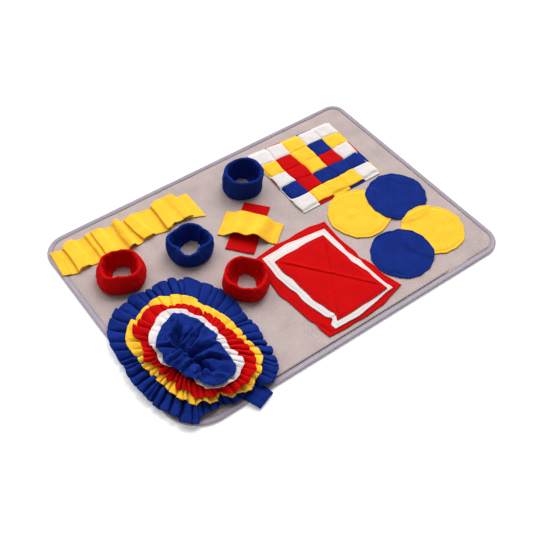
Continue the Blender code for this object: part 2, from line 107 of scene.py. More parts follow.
def creased(x, y, creases):
    """Change of level from creases: a valley, and a lip on one side (1 left, -1 right, 0 none)."""
    level = np.zeros(np.shape(x))
    for depth, width, lip, places in creases:
        beside = beside_line(x, y, places)
        level -= depth * (0.7 * bump(beside, 0, width) + 0.3 * np.exp(-np.abs(beside) / (3 * width)))
        if lip:
            level += 0.5 * depth * bump(beside, 2.4 * width * lip, 1.7 * width)
    return level


def soften(grid, size, height, seed):
    """Moves every point of a grid a little, as handled cloth is never quite even."""
    shape = grid.shape
    flat = grid.reshape(-1, 3)
    shift = [noise.noise_vector(Vector(point) / size + Vector((seed, 0, 0))) for point in flat]
    return (flat + height * np.array(shift)).reshape(shape)


# ------------------------------------------------------------------- meshes
def make_piece(name, points, faces, finish):
    """One closed smooth mesh from points in millimetres."""
    mesh = bpy.data.meshes.new(name)
    mesh.from_pydata([tuple(point) for point in np.asarray(points) * MM], [], faces)
    mesh.validate()
    mesh.polygons.foreach_set("use_smooth", [True] * len(mesh.polygons))
    mesh.materials.append(finish)
    piece = bpy.data.objects.new(name, mesh)
    bpy.context.scene.collection.objects.link(piece)
    return piece


def slopes(grid, axis, closed):
    if closed:
        return np.roll(grid, -1, axis) - np.roll(grid, 1, axis)
    return np.gradient(grid, axis=axis)


def cloth_sheet(name, grid, thickness, finish, ring=False):
    """A thin closed sheet round a grid of middle points, with a rounded rim.

    The first axis runs round when ring is true, and the thickness may differ from place to place.
    """
    grid = np.asarray(grid, float)
    across, along = grid.shape[:2]
    normal = np.cross(slopes(grid, 0, ring), slopes(grid, 1, False))
    normal /= np.maximum(np.linalg.norm(normal, axis=2, keepdims=True), 1e-9)
    thickness = np.broadcast_to(thickness, grid.shape[:2])
    upper = grid + normal * thickness[..., None] / 2
    lower = grid - normal * thickness[..., None] / 2
    points = [upper.reshape(-1, 3), lower.reshape(-1, 3)]
    below = across * along
    faces = []
    for i in range(across if ring else across - 1):
        for j in range(along - 1):
            a, b = i * along + j, ((i + 1) % across) * along + j
            faces.append((a, b, b + 1, a + 1))
            faces.append((a + below, a + 1 + below, b + 1 + below, b + below))
    if ring:
        loops = [[(i, 0) for i in range(across)], [(i, along - 1) for i in range(across)][::-1]]
    else:
        loop = [(i, 0) for i in range(across)]
        loop += [(across - 1, j) for j in range(1, along)]
        loop += [(i, along - 1) for i in range(across - 2, -1, -1)]
        loops = [loop + [(0, j) for j in range(along - 2, 0, -1)]]
    start = 2 * below
    for loop in loops:
        rim = []
        for i, j in loop:
            inner_i = i if ring else min(max(i, 1), across - 2)
            inner = grid[inner_i, min(max(j, 1), along - 2)]
            out = grid[i, j] - inner
            out *= 0.42 * thickness[i, j] / max(np.linalg.norm(out), 1e-9)
            rim.append(grid[i, j] + out)
        points.append(np.array(rim))
        for here in range(len(loop)):
            there = (here + 1) % len(loop)
            a = loop[here][0] * along + loop[here][1]
            b = loop[there][0] * along + loop[there][1]
            faces.append((b, a, start + here, start + there))
            faces.append((start + there, start + here, a + below, b + below))
        start += len(loop)
    return make_piece(name, np.concatenate(points), faces, finish)


def stitch_row(name, places, ups, finish, length=2.6, width=0.7, gap=1.3, height=0.35):
    """Raised thread dashes along a line of places, each bedded in the cloth at its ends."""
    places, ups = np.asarray(places, float), np.asarray(ups, float)
    steps = np.linalg.norm(np.diff(places, axis=0), axis=1)
    reached = np.concatenate([[0], np.cumsum(steps)])
    points, faces = [], []
    profile = ((-0.5, -0.2), (-0.35, 0.25), (0.35, 0.25), (0.5, -0.2))
    for start in np.arange(0.5, reached[-1] - length, length + gap):
        ends = [
            np.array([np.interp(at, reached, places[:, axis]) for axis in range(3)])
            for at in (start, start + length)
        ]
        up = np.array([np.interp(start, reached, ups[:, axis]) for axis in range(3)])
        run = ends[1] - ends[0]
        run /= max(np.linalg.norm(run), 1e-9)
        side = np.cross(up, run)
        base = len(points)
        for share, swell in ((0.0, 0.35), (0.25, 1.0), (0.75, 1.0), (1.0, 0.35)):
            middle = mix(ends[0], ends[1], share)
            for out, rise in profile:
                lift = up * height * (rise * 2 * swell)
                points.append(middle + side * out * width * swell + lift)
        for ring in range(3):
            for corner in range(4):
                a, b = base + ring * 4 + corner, base + ring * 4 + (corner + 1) % 4
                faces.append((a, a + 4, b + 4, b))
        faces.append(tuple(base + corner for corner in range(4)))
        faces.append(tuple(base + 12 + corner for corner in reversed(range(4))))
    return make_piece(name, points, faces, finish)


# ------------------------------------------------------------------ finishes
class Shade:
    """A shader value. Arithmetic on it adds Math nodes to its material."""

    def __init__(self, dye, socket):
        self.dye, self.socket = dye, socket

    def maths(self, operation, *values):
        return self.dye.node("ShaderNodeMath", {"operation": operation}, *values)

    def __add__(self, other):
        return self.maths("ADD", self, other)

    def __sub__(self, other):
        return self.maths("SUBTRACT", self, other)

    def __rsub__(self, other):
        return self.maths("SUBTRACT", other, self)

    def __mul__(self, other):
        return self.maths("MULTIPLY", self, other)

    def __pow__(self, other):
        return self.maths("POWER", self, other)

    __radd__, __rmul__ = __add__, __mul__

    def ramp(self, low, high):
        """0 below low, 1 above high, and smooth between."""
        settings = {"interpolation_type": "SMOOTHSTEP"}
        return self.dye.node("ShaderNodeMapRange", settings, self, low, high)


class Dye:
    """A material in the making."""

    def __init__(self, name):
        self.material = bpy.data.materials.new(name)
        self.material.use_nodes = True
        self.tree = self.material.node_tree
        self.tree.nodes.clear()

    def node(self, kind, settings, *values, out=0, **named):
        """Adds a node: settings first, then socket values or links, by place or by name."""
        made = self.tree.nodes.new(kind)
        for setting, value in settings.items():
            setattr(made, setting, value)
        for place, value in [*enumerate(values), *named.items()]:
            key = place.replace("_", " ") if isinstance(place, str) else place
            if isinstance(value, Shade):
                self.tree.links.new(value.socket, made.inputs[key])
            elif value is not None:
                made.inputs[key].default_value = value
        return Shade(self, made.outputs[out]) if made.outputs else None

    def place(self):
        return self.node("ShaderNodeTexCoord", {}, out="Object")

    def grain(self, place, scale, detail=2.0, rough=0.5):
        named = {"Scale": scale, "Detail": detail, "Roughness": rough}
        return self.node("ShaderNodeTexNoise", {}, place, **named)

    def blend(self, share, first, second):
        made = self.tree.nodes.new("ShaderNodeMix")
        made.data_type = "RGBA"
        for key, value in ((0, share), (6, first), (7, second)):
            if isinstance(value, Shade):
                self.tree.links.new(value.socket, made.inputs[key])
            else:
                made.inputs[key].default_value = value
        return Shade(self, made.outputs[2])

    def finish(self, colour, rough, height, depth, sheen, sheen_colour, specular=0.25):
        normal = self.node("ShaderNodeBump", {}, Strength=1.0, Distance=depth, Height=height)
        named = {
            "Base Color": colour,
            "Roughness": rough,
            "Normal": normal,
            "Sheen Weight": sheen,
            "Sheen Roughness": 0.45,
            "Sheen Tint": sheen_colour,
            "Specular IOR Level": specular,
        }
        skin = self.node("ShaderNodeBsdfPrincipled", {}, **named)
        self.node("ShaderNodeOutputMaterial", {}, skin)
        return self.material


def dyed(red, green, blue):
    """A scene colour from the three numbers of a screen colour."""
    shares = [value / 255 for value in (red, green, blue)]
    return (*[s / 12.92 if s <= 0.04045 else ((s + 0.055) / 1.055) ** 2.4 for s in shares], 1.0)


def fleece(name, deep, light, sheen):
    """Brushed fleece: a short nap in small tufts over a soft, slightly blotchy dye."""
    dye = Dye(name)
    place = dye.place()
    nap = dye.grain(place, 900.0, 3.0, 0.7)
    tufts = dye.grain(place, 260.0, 2.0, 0.5)
    blotch = dye.grain(place, 38.0, 2.0, 0.5)
    tone = (nap * 0.3 + tufts * 0.4 + blotch * 0.3).ramp(0.3, 0.7)
    colour = dye.blend(tone, deep, light)
    height = nap * 0.4 + tufts * 0.6
    rough = 0.86 + tufts * 0.12
    return dye.finish(colour, rough, height, 0.0007, sheen, light, 0.05)


def felt(name):
    """Pressed felt: crossing fibres, pills and faint pressed marks."""
    dye = Dye(name)
    place = dye.place()
    fibres = dye.grain(place, 1300.0, 4.0, 0.75)
    pills = dye.grain(place, 420.0, 2.0, 0.6)
    clouds = dye.grain(place, 22.0, 3.0, 0.55)
    tone = (fibres * 0.4 + pills * 0.35 + clouds * 0.25).ramp(0.3, 0.7)
    colour = dye.blend(tone, dyed(160, 145, 142), dyed(198, 181, 178))
    height = fibres * 0.55 + pills * 0.45
    return dye.finish(colour, 0.9 + pills * 0.08, height, 0.0006, 0.08, dyed(210, 198, 196), 0.12)


def tape(name):
    """Woven tape: a fine slanting twill with a slight gloss on its ribs."""
    dye = Dye(name)
    place = dye.place()
    settings = {"wave_type": "BANDS", "bands_direction": "DIAGONAL"}
    twill = dye.node("ShaderNodeTexWave", settings, place, Scale=330.0, Distortion=0.6)
    clouds = dye.grain(place, 60.0, 2.0, 0.5)
    colour = dye.blend(twill * 0.5 + clouds * 0.5, dyed(152, 143, 153), dyed(184, 174, 186))
    return dye.finish(colour, 0.7 + clouds * 0.15, twill, 0.0003, 0.1, dyed(200, 190, 205), 0.2)


def thread(name, colour):
    """Sewing thread: two plies twisted on each other."""
    dye = Dye(name)
    settings = {"wave_type": "BANDS", "bands_direction": "DIAGONAL"}
    twist = dye.node("ShaderNodeTexWave", settings, dye.place(), Scale=700.0)
    dark = tuple(value * 0.85 for value in colour[:3]) + (1.0,)
    tone = dye.blend(twist, dark, colour)
    return dye.finish(tone, 0.55 + twist * 0.1, twist, 0.0002, 0.05, colour, 0.3)


CLOTH = {
    "yellow": fleece("yellow_fleece", dyed(240, 183, 46), dyed(251, 199, 60), 0.03),
    "red": fleece("red_fleece", dyed(182, 5, 8), dyed(198, 9, 12), 0.03),
    "blue": fleece("blue_fleece", dyed(14, 34, 104), dyed(22, 47, 131), 0.06),
    "white": fleece("white_fleece", dyed(212, 205, 203), dyed(224, 218, 216), 0.04),
}
THREAD = {
    "yellow": thread("yellow_thread", dyed(240, 184, 48)),
    "red": thread("red_thread", dyed(172, 6, 9)),
    "blue": thread("blue_thread", dyed(18, 37, 104)),
    "white": thread("white_thread", dyed(205, 196, 194)),
    "tape": thread("tape_thread", dyed(120, 112, 122)),
    # The dark grey thread below is painted shade: it stands for the shadow in the gap between felt and tape
    # along the near side.
    "painted_shade": thread("painted_shade_thread", dyed(78, 70, 73)),
}
FELT = felt("grey_felt")
TAPE = tape("lavender_tape")


def sew_in(piece, slot, *nodes):
    """Fixes a piece to the mat and hides the parts it stands for; the slot is not used."""
    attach(piece, "root")
    if nodes:
        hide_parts(*nodes)
    return piece


def cloth_piece(piece, colour, nodes=(), sewn=()):
    sew_in(piece, f"{colour}_fleece", *nodes)
    for stitches in sewn:
        sew_in(stitches, f"{colour}_fleece")
    return piece


# ---------------------------------------------------------------------- base
MAT_LONG, MAT_SHORT = 698.0, 498.0
PAD_THICK = 4.5
CORNERS = ((1, 1, 28.0), (-1, 1, 46.0), (-1, -1, 72.0), (1, -1, 42.0))
TAPE_WIDTH = 10.0


def mat_outline(pace=6.0):
    """Places round the edge of the mat and the way outwards at each."""
    places, ways = [], []
    for quarter, (side_x, side_y, radius) in enumerate(CORNERS):
        middle = np.array((side_x * (MAT_LONG / 2 - radius), side_y * (MAT_SHORT / 2 - radius)))
        for angle in np.linspace(0, math.pi / 2, 14) + quarter * math.pi / 2:
            way = np.array((math.cos(angle), math.sin(angle)))
            places.append(middle + radius * way)
            ways.append(way)
        next_x, next_y, next_radius = CORNERS[(quarter + 1) % 4]
        arc = np.array((next_x * (MAT_LONG / 2 - next_radius), next_y * (MAT_SHORT / 2 - next_radius)))
        start, end = places[-1], arc + next_radius * ways[-1]
        count = int(np.linalg.norm(end - start) / pace)
        for share in np.arange(1, count) / count:
            places.append(mix(start, end, share))
            ways.append(ways[-1])
    return np.array(places), np.array(ways)


def felt_pad():
    """A rectangular grid whose corners are bent round, thinned where the tape holds it."""
    rim = [0.8, 4.0, 8.6, 10.0, 10.5, 12.9, 13.4, 15.0, 18.0]

    def ticks(size, count):
        half = size / 2
        inner = np.linspace(-half + rim[-1], half - rim[-1], count)[1:-1]
        edge = -half + np.array(rim)
        return np.concatenate([edge, inner, -edge[::-1]])

    xs, ys = ticks(MAT_LONG, 120), ticks(MAT_SHORT, 86)
    grid = np.zeros((len(xs), len(ys), 3))
    grid[..., 0], grid[..., 1] = xs[:, None], ys[None, :]
    inset = np.minimum(MAT_LONG / 2 - np.abs(grid[..., 0]), MAT_SHORT / 2 - np.abs(grid[..., 1]))
    for side_x, side_y, radius in CORNERS:
        middle = np.array((side_x * (MAT_LONG / 2 - radius), side_y * (MAT_SHORT / 2 - radius)))
        away = (grid[..., :2] - middle) * (side_x, side_y)
        in_corner = (away > 0).all(axis=2)
        pull = away.max(axis=2) / np.maximum(np.hypot(*np.moveaxis(away, 2, 0)), 1e-9)
        bent = middle + away * (side_x, side_y) * pull[..., None]
        grid[in_corner, :2] = bent[in_corner]
    inside = smooth(8.8, 10.6, inset)
    swell = np.array([
        [noise.noise(Vector((x / 55, y / 55, 3))) + 0.5 * noise.noise(Vector((x / 19, y / 19, 8)))
         for x, y, _ in line] for line in grid
    ])
    top = mix(3.6, PAD_THICK + 0.22 * swell, inside) - 0.35 * inside * bump(inset, 11.5, 3.0)
    gape = smooth(-175, -150, grid[..., 0]) * smooth(225, 195, grid[..., 0]) * (grid[..., 1] < -220)
    top -= 3.7 * gape * smooth(10.1, 10.4, inset) * smooth(13.3, 13.0, inset)
    bottom = mix(1.6, 0.0, inside)
    grid[..., 2] = (top + bottom) / 2
    pad = cloth_sheet("felt_pad", grid, top - bottom, FELT)
    sew_in(pad, "felt", "mat_pad")


# Dark stitch lines just inside the tape along the near side: painted shade standing for the shadow gap between
# felt and tape.
PAINTED_SHADE_LINES = ((-165, 120, 1.5), (120, 218, 0.9), (262, 325, 0.8))  # start, end, width


def taped_edge():
    """One tape folded round the edge and sewn through close to its inner edge."""
    places, ways = mat_outline()
    profile = along_curve(
        [(9.8, 0.6), (5.5, 0.6), (1.9, 0.75), (0.7, 1.7), (0.6, 2.8), (0.9, 4.0), (2.2, 4.85),
         (4.6, 5.0), (6.6, 4.75), (8.0, 4.25), (8.8, 4.2), (9.9, 4.75)], 34)
    grid = []
    for index, (place, way) in enumerate(zip(places, ways)):
        wave = noise.noise(Vector((*place / 26, 1.0)))
        pucker = noise.noise(Vector((*place / 7, 5.0)))
        ring = []
        for inset, level in profile:
            upper = float(smooth(2.5, 4.5, level))
            shift = 0.45 * wave * float(smooth(4.0, 9.0, inset)) * upper
            lift = upper * (0.22 * wave + 0.25 * pucker * float(bump(inset, 6.2, 2.2)))
            x, y = place - way * (inset + shift)
            ring.append((x, y, level + lift))
        grid.append(ring)
    edge = cloth_sheet("taped_edge", grid, 1.1, TAPE, ring=True)
    line = [(*(place - way * 8.4), 4.75) for place, way in zip(places, ways)]
    line.append(line[0])
    seam = stitch_row("tape_stitches", line, [(0, 0, 1)] * len(line), THREAD["tape"])
    sew_in(edge, "tape", "edge_binding")
    sew_in(seam, "tape")
    seams = [seam]
    # Painted shade: near-black stitches laid where the felt meets the tape along the near side, in place of the
    # shadow in that gap.
    for number, (start, end, width) in enumerate(PAINTED_SHADE_LINES, 1):
        line = [(x, 12.3 - MAT_SHORT / 2, PAD_THICK) for x in np.arange(start, end, 6.0)]
        seams.append(stitch_row(f"overcast_stitches_{number}", line, [(0, 0, 1)] * len(line),
                                THREAD["painted_shade"], length=6.0, width=width, gap=0.4))
        sew_in(seams[-1], "tape")


# ------------------------------------------------------------- pleated strip
STRIP_LEFT, STRIP_RIGHT = (-341.0, -346.0), (-57.0, -59.0)
STRIP_ON_TAPE = 16.0
PLEAT_COLUMNS = ("facing", "x_far", "x_near", "tuck", "rise", "fall", "bow")
PLEATS = (
    ("left", -316, -318, 18, 4.0, 0.4, 2.0),
    ("hump", -267, -268, 5, 3.8, 0.3, 1.0),
    ("left", -256, -259, 13, 4.0, 0.4, 0.5),
    ("hump", -205, -208, 11, 6.6, 0.3, -1.5),
    ("left", -190, -184, 17, 4.2, 0.4, -2.0),
    ("left", -131, -136, 15, 4.8, 3.4, 1.0),
    ("right", -81, -80, 12, 4.8, 3.4, 1.5),
)
STRIP_EDGES = (  # x, far y, near y
    (-346, 219, 157), (-318, 214, 146), (-312, 220, 151), (-300, 225, 150), (-275, 217, 147),
    (-268, 219, 149), (-261, 223, 146), (-255, 219, 144), (-235, 219, 143), (-222, 212, 143),
    (-206, 219, 142), (-192, 211, 143), (-184, 212, 146), (-165, 216, 147), (-138, 210, 141),
    (-130, 213, 141), (-118, 218, 147), (-84, 216, 144), (-79, 206, 141), (-57, 203, 131),
)
STRIP_STATIONS = 30


def pleat_line(share):
    """The strip's section between its far edge, at 0, and its near edge, at 1."""
    low = ON_MAT + FLEECE / 2
    gape = 1 + 0.35 * share**2
    left = mix(*STRIP_LEFT, share)
    line = [(left, low + 1.0), (left + STRIP_ON_TAPE - 4, low + 1.0), (left + STRIP_ON_TAPE, low)]
    for pleat in rows(PLEAT_COLUMNS, PLEATS):
        edge = mix(pleat["x_far"], pleat["x_near"], share) + pleat["bow"] * math.sin(math.pi * share)
        rise, tuck, fall = pleat["rise"] * gape, pleat["tuck"], pleat["fall"]
        if pleat["facing"] == "hump":
            line += [(edge - 1.15 * tuck, low + 0.2), (edge - 0.5 * tuck, low + 0.8 * rise)]
            line += [(edge + 0.25 * tuck, low + rise), (edge + 0.9 * tuck, low + fall)]
            continue
        inward = 1 if pleat["facing"] == "left" else -1
        turn = edge + inward * tuck
        fold = [(turn - 2 * inward, low), (turn, low + 0.2 * rise), (turn - 2 * inward, low + 0.4 * rise)]
        fold += [(edge + 1.5 * inward, low + 0.5 * rise), (edge, low + 0.75 * rise)]
        fold += [(edge + 1.5 * inward, low + rise), (turn + 2.5 * inward, low + 0.92 * rise)]
        fold += [(turn + 9.0 * inward, low + fall)]
        line += fold[::inward]
    return line + [(mix(*STRIP_RIGHT, share), low)]


def pleated_strip():
    xs, far, near = (np.array(column, float) for column in zip(*STRIP_EDGES))
    grid = []
    for station in range(STRIP_STATIONS):
        share = station / (STRIP_STATIONS - 1)
        line = along_curve(pleat_line(share), 300)
        y = mix(np.interp(line[:, 0], xs, far), np.interp(line[:, 0], xs, near), share)
        grid.append(np.column_stack([line[:, 0], y, np.maximum(line[:, 1], ON_MAT + 0.9)]))
    grid = soften(np.array(grid), 17.0, 0.6, 1.0)
    strip = cloth_sheet("pleated_strip", grid, 1.3, CLOTH["yellow"])
    seams = []
    for name, row, inward in (("pleat_stitches_far", grid[1], 1.0),):
        top = [(x, y, z + 0.85) for x, y, z in row[::2]]
        seams.append(stitch_row(name, top, [(0, 0, 1)] * len(top), THREAD["yellow"]))
    cloth_piece(strip, "yellow",
                ["pleated_strip_yellow"], sewn=seams)


# ----------------------------------------------------------------- stand-up rings
TUBE_COLUMNS = ("name", "x", "y", "foot", "bulge", "rim", "height", "corners", "turn")
TUBES = (
    ("tube_red_left", -263, 93, 41, 45, 38, 36, 0.030, 20),
    ("tube_blue_left", -130, 75, 40, 41.5, 36.5, 38, 0.010, 54),
    ("tube_red_right", -94, -51, 40, 42, 39, 38, 0.045, -5),
    ("tube_blue_right", 41.8, 156.3, 38.5, 38.5, 37, 44, 0.020, 30),
)
TUBE_RIMS = {  # degrees, outwards, upwards
    "tube_red_left": (
        (54, 0, 4), (100, 1, 1), (144, 1, 0), (185, -2, 0), (234, -6.5, 5), (275, -4, 3), (324, 1, 0),
    ),
    "tube_blue_left": (
        (9, -1, 0), (54, 1.5, 2), (99, -1.5, 1), (144, 5.5, 0), (189, -5.5, 0), (234, 6, -3), (279, -5.5, 0),
        (324, 6, 0),
    ),
    "tube_red_right": (
        (10, 2, -2), (54, -1, 1), (100, 1, 0), (150, 1, 0), (190, -5, 0), (234, -2, -2), (290, -2, -5),
        (330, 1, -6),
    ),
    "tube_blue_right": (
        (9, 5, -1), (54, 3, 2), (99, -2, 0), (144, -4, 1), (189, -6, 0), (234, -4, -2), (279, -1, -2),
        (324, 5.5, -1),
    ),
}
TUBE_DENTS = (  # degrees, slant, depth, spread
    (40, 20, 1.0, 6), (95, -14, 1.4, 5), (150, 12, 0.9, 7), (205, -25, 1.2, 6), (250, 18, 1.3, 6),
    (300, -12, 1.0, 5), (345, 15, 1.2, 7),
)
TUBE_WALL = 5.0
TUBE_ROUND = 120


def stand_up_ring(tube):
    """Doubled fleece: up the outside, over the rim and down to the seam inside the foot."""
    foot, bulge, rim, height = (tube[key] for key in ("foot", "bulge", "rim", "height"))
    seed = len(tube["name"]) + tube["x"]
    degrees = np.arange(TUBE_ROUND) * 360 / TUBE_ROUND
    table = TUBE_RIMS[tube["name"]]
    outwards = ring_values(degrees, [row[:2] for row in table])
    upwards = ring_values(degrees, [(row[0], row[2]) for row in table])
    low = ON_MAT + 0.9
    grid = []
    for step in range(TUBE_ROUND):
        near = [(step + offset) % TUBE_ROUND for offset in range(-3, 4)]
        angle = math.radians(degrees[step])
        square = 1 + tube["corners"] * math.cos(4 * (angle - math.radians(tube["turn"])))
        way = Vector((math.cos(angle) * 1.6, math.sin(angle) * 1.6, seed))
        top = height + upwards[near].mean() + 0.9 * noise.noise(way)
        lean = outwards[near].mean() + 1.3 * noise.noise(way * 0.8 + Vector((0, 0, 9)))
        inner = rim - TUBE_WALL + lean
        mouth = 18.5 + 3.0 * math.cos(2 * angle - math.radians(288)) + 1.6 * math.sin(3 * angle + seed)
        path = [
            (foot - 3.5, low), (foot - 0.6, low + 1.0), (mix(foot, bulge, 0.75), mix(low, top, 0.2)),
            (bulge + 0.2 * lean, mix(low, top, 0.45)), (mix(bulge, rim, 0.6) + 0.6 * lean, mix(low, top, 0.75)),
            (rim + 0.4 + lean, top - 2.6), (rim - 0.8 + lean, top - 0.9),
            (rim - TUBE_WALL / 2 + lean, top - 0.3), (inner + 0.8, top - 1.1),
            (inner - 0.4, top - 3.2), (inner - 2.5, mix(low, top, 0.68)),
            (inner - 4.0, mix(low, top, 0.4)), (inner - 6.5, mix(low, top, 0.16)),
            (foot - mouth, low + 0.2),
        ]
        ring = along_curve(path, 52)
        height_share = (ring[:, 1] - low) / (top - low)
        reach = ring[:, 0] * square
        within = smooth(0.55, 0.75, np.linspace(0, 1, len(ring)))
        reach -= 2.6 * within * noise.noise(Vector((4 * way[0], 4 * way[1], seed)))
        for at, slant, depth, spread in TUBE_DENTS:
            away = (degrees[step] - at - seed * 17 - slant * height_share + 180) % 360 - 180
            reach -= depth * bump(away, 0, spread) * smooth(0.05, 0.4, height_share)
        x = tube["x"] + reach * math.cos(angle)
        y = tube["y"] + reach * math.sin(angle)
        grid.append(np.column_stack([x, y, ring[:, 1]]))
    grid = np.array(grid)
    moved = soften(grid, 16.0, 1.5, seed * 0.37) + soften(grid, 6.5, 0.45, seed * 0.11) - grid
    grounded = smooth(ON_MAT + 1.0, ON_MAT + 6.0, grid[..., 2:])
    grid = mix(grid, moved, grounded)
    colour = tube["name"].split("_")[1]
    name = tube["name"].replace("tube", "ring")
    ring = cloth_sheet(name, grid, 1.8, CLOTH[colour], ring=True)
    length = 2 * math.pi * bulge * MM
    cloth_piece(ring, colour, [tube["name"]])


# ------------------------------------------------------------ crossed strips
CROSS_COLUMNS = ("name", "start", "end", "start_width", "end_width", "arch", "level", "flat")
CROSS = (
    ("cross_strip_red", (-59, 21), (36, 98), 54, 50, 0.0, 0.0, (0.124, 0.054)),
    ("cross_strip_yellow", (-44, 98), (26, 11), 62, 50, 13.0, 0.3, (0.126, 0.056)),
)


def cross_strip(strip):
    (start_x, start_y), (end_x, end_y) = strip["start"], strip["end"]
    length = math.hypot(end_x - start_x, end_y - start_y)
    side_x, side_y = (start_y - end_y) / length, (end_x - start_x) / length
    grid = []
    for share in np.linspace(0, 1, 64):
        half = mix(strip["start_width"], strip["end_width"], share) / 2
        raised = float(smooth(0.08, 0.3, share) * smooth(0.0, 0.22, 0.9 - share))
        line = []
        for side in np.linspace(-1, 1, 34):
            x = mix(start_x, end_x, share) + side * half * side_x
            y = mix(start_y, end_y, share) + side * half * side_y
            level = ON_MAT + 0.9 + strip["level"] + raised * strip["arch"] * (1 - 0.12 * side)
            ripple = 2.4 * math.sin(10 * share + 1.0) + 2.0 * math.sin(23 * share)
            level += (strip["arch"] > 0) * raised * (1 - side) / 2 * ripple
            line.append((x, y, level))
        grid.append(line)
    grid = np.array(grid)
    loose = soften(grid, 16.0, 0.9, start_x)
    loose[..., 2] = np.maximum(loose[..., 2], grid[..., 2])
    colour = strip["name"].split("_")[-1]
    name = strip["name"].replace("cross_strip", "ribbon")
    piece = cloth_sheet(name, loose, 1.6, CLOTH[colour])
    seams = []
    for number, line in enumerate((loose[3], loose[-4])):
        top = [(x, y, z + 0.85) for x, y, z in line[1:-1]]
        seam = stitch_row(f"{name}_stitches_{number + 1}", top, [(0, 0, 1)] * len(top), THREAD[colour])
        seams.append(seam)
    cloth_piece(piece, colour, [strip["name"]], sewn=seams)


# --------------------------------------------------------------------- weave
WEAVE_CORNERS = ((101, 217), (291, 203), (281, 30), (96, 32))
WEAVE_COUNT = 5
WEAVE_DOWN = ("white", "red", "yellow", "blue", "white")  # along Y, left to right
WEAVE_ACROSS = ("white", "yellow", "red", "blue", "yellow")  # along X, far to near


def between_corners(corners, across, along):
    corners = [np.array(corner, float) for corner in corners]
    far = mix(corners[0], corners[1], across)
    near = mix(corners[3], corners[2], across)
    return mix(far, near, along)


def weave_border(number, along, down):
    """How far a border between two strips wanders from its straight line."""
    place = Vector((number * 3.7, along * 3.2, 2.0 if down else 9.0))
    return 0.026 * noise.noise(place) + 0.010 * noise.noise(place * 3)


def weave_crossing(along, across, down):
    """Which crossing strip is met here, and how far across it the place is, from 0 to 1."""
    borders = [k / WEAVE_COUNT + weave_border(k, across, not down) for k in range(WEAVE_COUNT + 1)]
    crossing = int(np.clip(np.searchsorted(borders, along) - 1, 0, WEAVE_COUNT - 1))
    start, end = borders[crossing], borders[crossing + 1]
    return crossing, min(max((along - start) / (end - start), 0.0), 1.0)


def weave_strip(colour, index, down):
    """One strip that goes over and under the other five and puffs up where it is on top."""
    first_on_top = (index % 2 == 0) == down
    seed = index * 3.1 + (7 if down else 0)
    grid = []
    for along in np.linspace(-0.02 if down else -0.002, 1.02, 110):
        line = []
        low = index / WEAVE_COUNT + weave_border(index, along, down) + 0.002
        low -= 0.010 * (down and index == 0)
        high = (index + 1) / WEAVE_COUNT + weave_border(index + 1, along, down) - 0.002
        for side in np.linspace(-1, 1, 18):
            across = mix(low, high, (side + 1) / 2)
            crossing, inside = weave_crossing(along, across, down)
            on_top = (crossing % 2 == 0) == first_on_top
            nearest = min(inside, 1 - inside)
            if crossing == (0 if inside < 0.5 else WEAVE_COUNT - 1):
                raised = on_top * float(smooth(0.0, 0.16, nearest))
            else:
                raised = float(smooth(-0.08, 0.08, nearest if on_top else -nearest))
            pillow = 1 - abs(side) ** 4.5
            x, y = between_corners(WEAVE_CORNERS, *((across, along) if down else (along, across)))
            crown = 1.2 * (1 + 0.4 * float(uneven(crossing, seed)))
            line.append((x, y, ON_MAT + 0.75 + raised * (2.1 + crown * pillow)))
        grid.append(line)
    grid = np.array(grid)
    puffed = soften(grid, 13.0, 0.55, seed)
    puffed[..., 2] = np.maximum(puffed[..., 2], ON_MAT + 0.75)
    way = "down" if down else "across"
    node = f"weave_{way}_{index + 1}_{colour}"
    piece = cloth_sheet(f"woven_{way}_{index + 1}_{colour}", puffed, 1.3, CLOTH[colour])
    cloth_piece(piece, colour, [node])


# --------------------------------------------------------------------- discs
DISC_COLUMNS = ("name", "x", "y", "radius", "longer")
DISCS = (
    ("disc_yellow_left", 179, -33, 60, 0.05),
    ("disc_blue_right", 266, -40, 59, 0.05),
    ("disc_yellow_right", 263, -146, 59.5, 0.02),
    ("disc_blue_left", 177, -157, 58.5, 0.0),
)
DISC_LONG_WAY = math.radians(54)
DISC_FACETS = 11
DISC_ROUND, DISC_RINGS = 150, 34
DISC_CREASES = {  # depth, width, lip, places along it
    "disc_yellow_right": ((0.7, 2.6, 1, ((236, -98), (262, -104), (290, -103))),),
    "disc_blue_left": (
        (1.3, 2.0, 1, ((203, -106), (220, -120), (232, -140))),
        (0.9, 2.6, -1, ((120, -175), (135, -182), (146, -198))),
    ),
    "disc_blue_right": ((0.6, 2.2, 1, ((283, 6), (292, -20), (310, -36))),),
    "disc_yellow_left": ((0.3, 3.5, 1, ((131, -8), (150, -20), (160, -40))),),
}


def disc_level(count, x, y):
    """Underside of a patch over the first count patches."""
    level = np.full_like(x, ON_MAT)
    for lower, disc in enumerate(rows(DISC_COLUMNS, DISCS[:count])):
        outside = np.hypot(x - disc["x"], y - disc["y"]) - disc["radius"]
        raised = 1 - smooth(4.5, 17.0, outside)
        top = disc_level(lower, x, y) + FLEECE + 0.7
        level = np.maximum(level, mix(ON_MAT, top, raised))
    return level


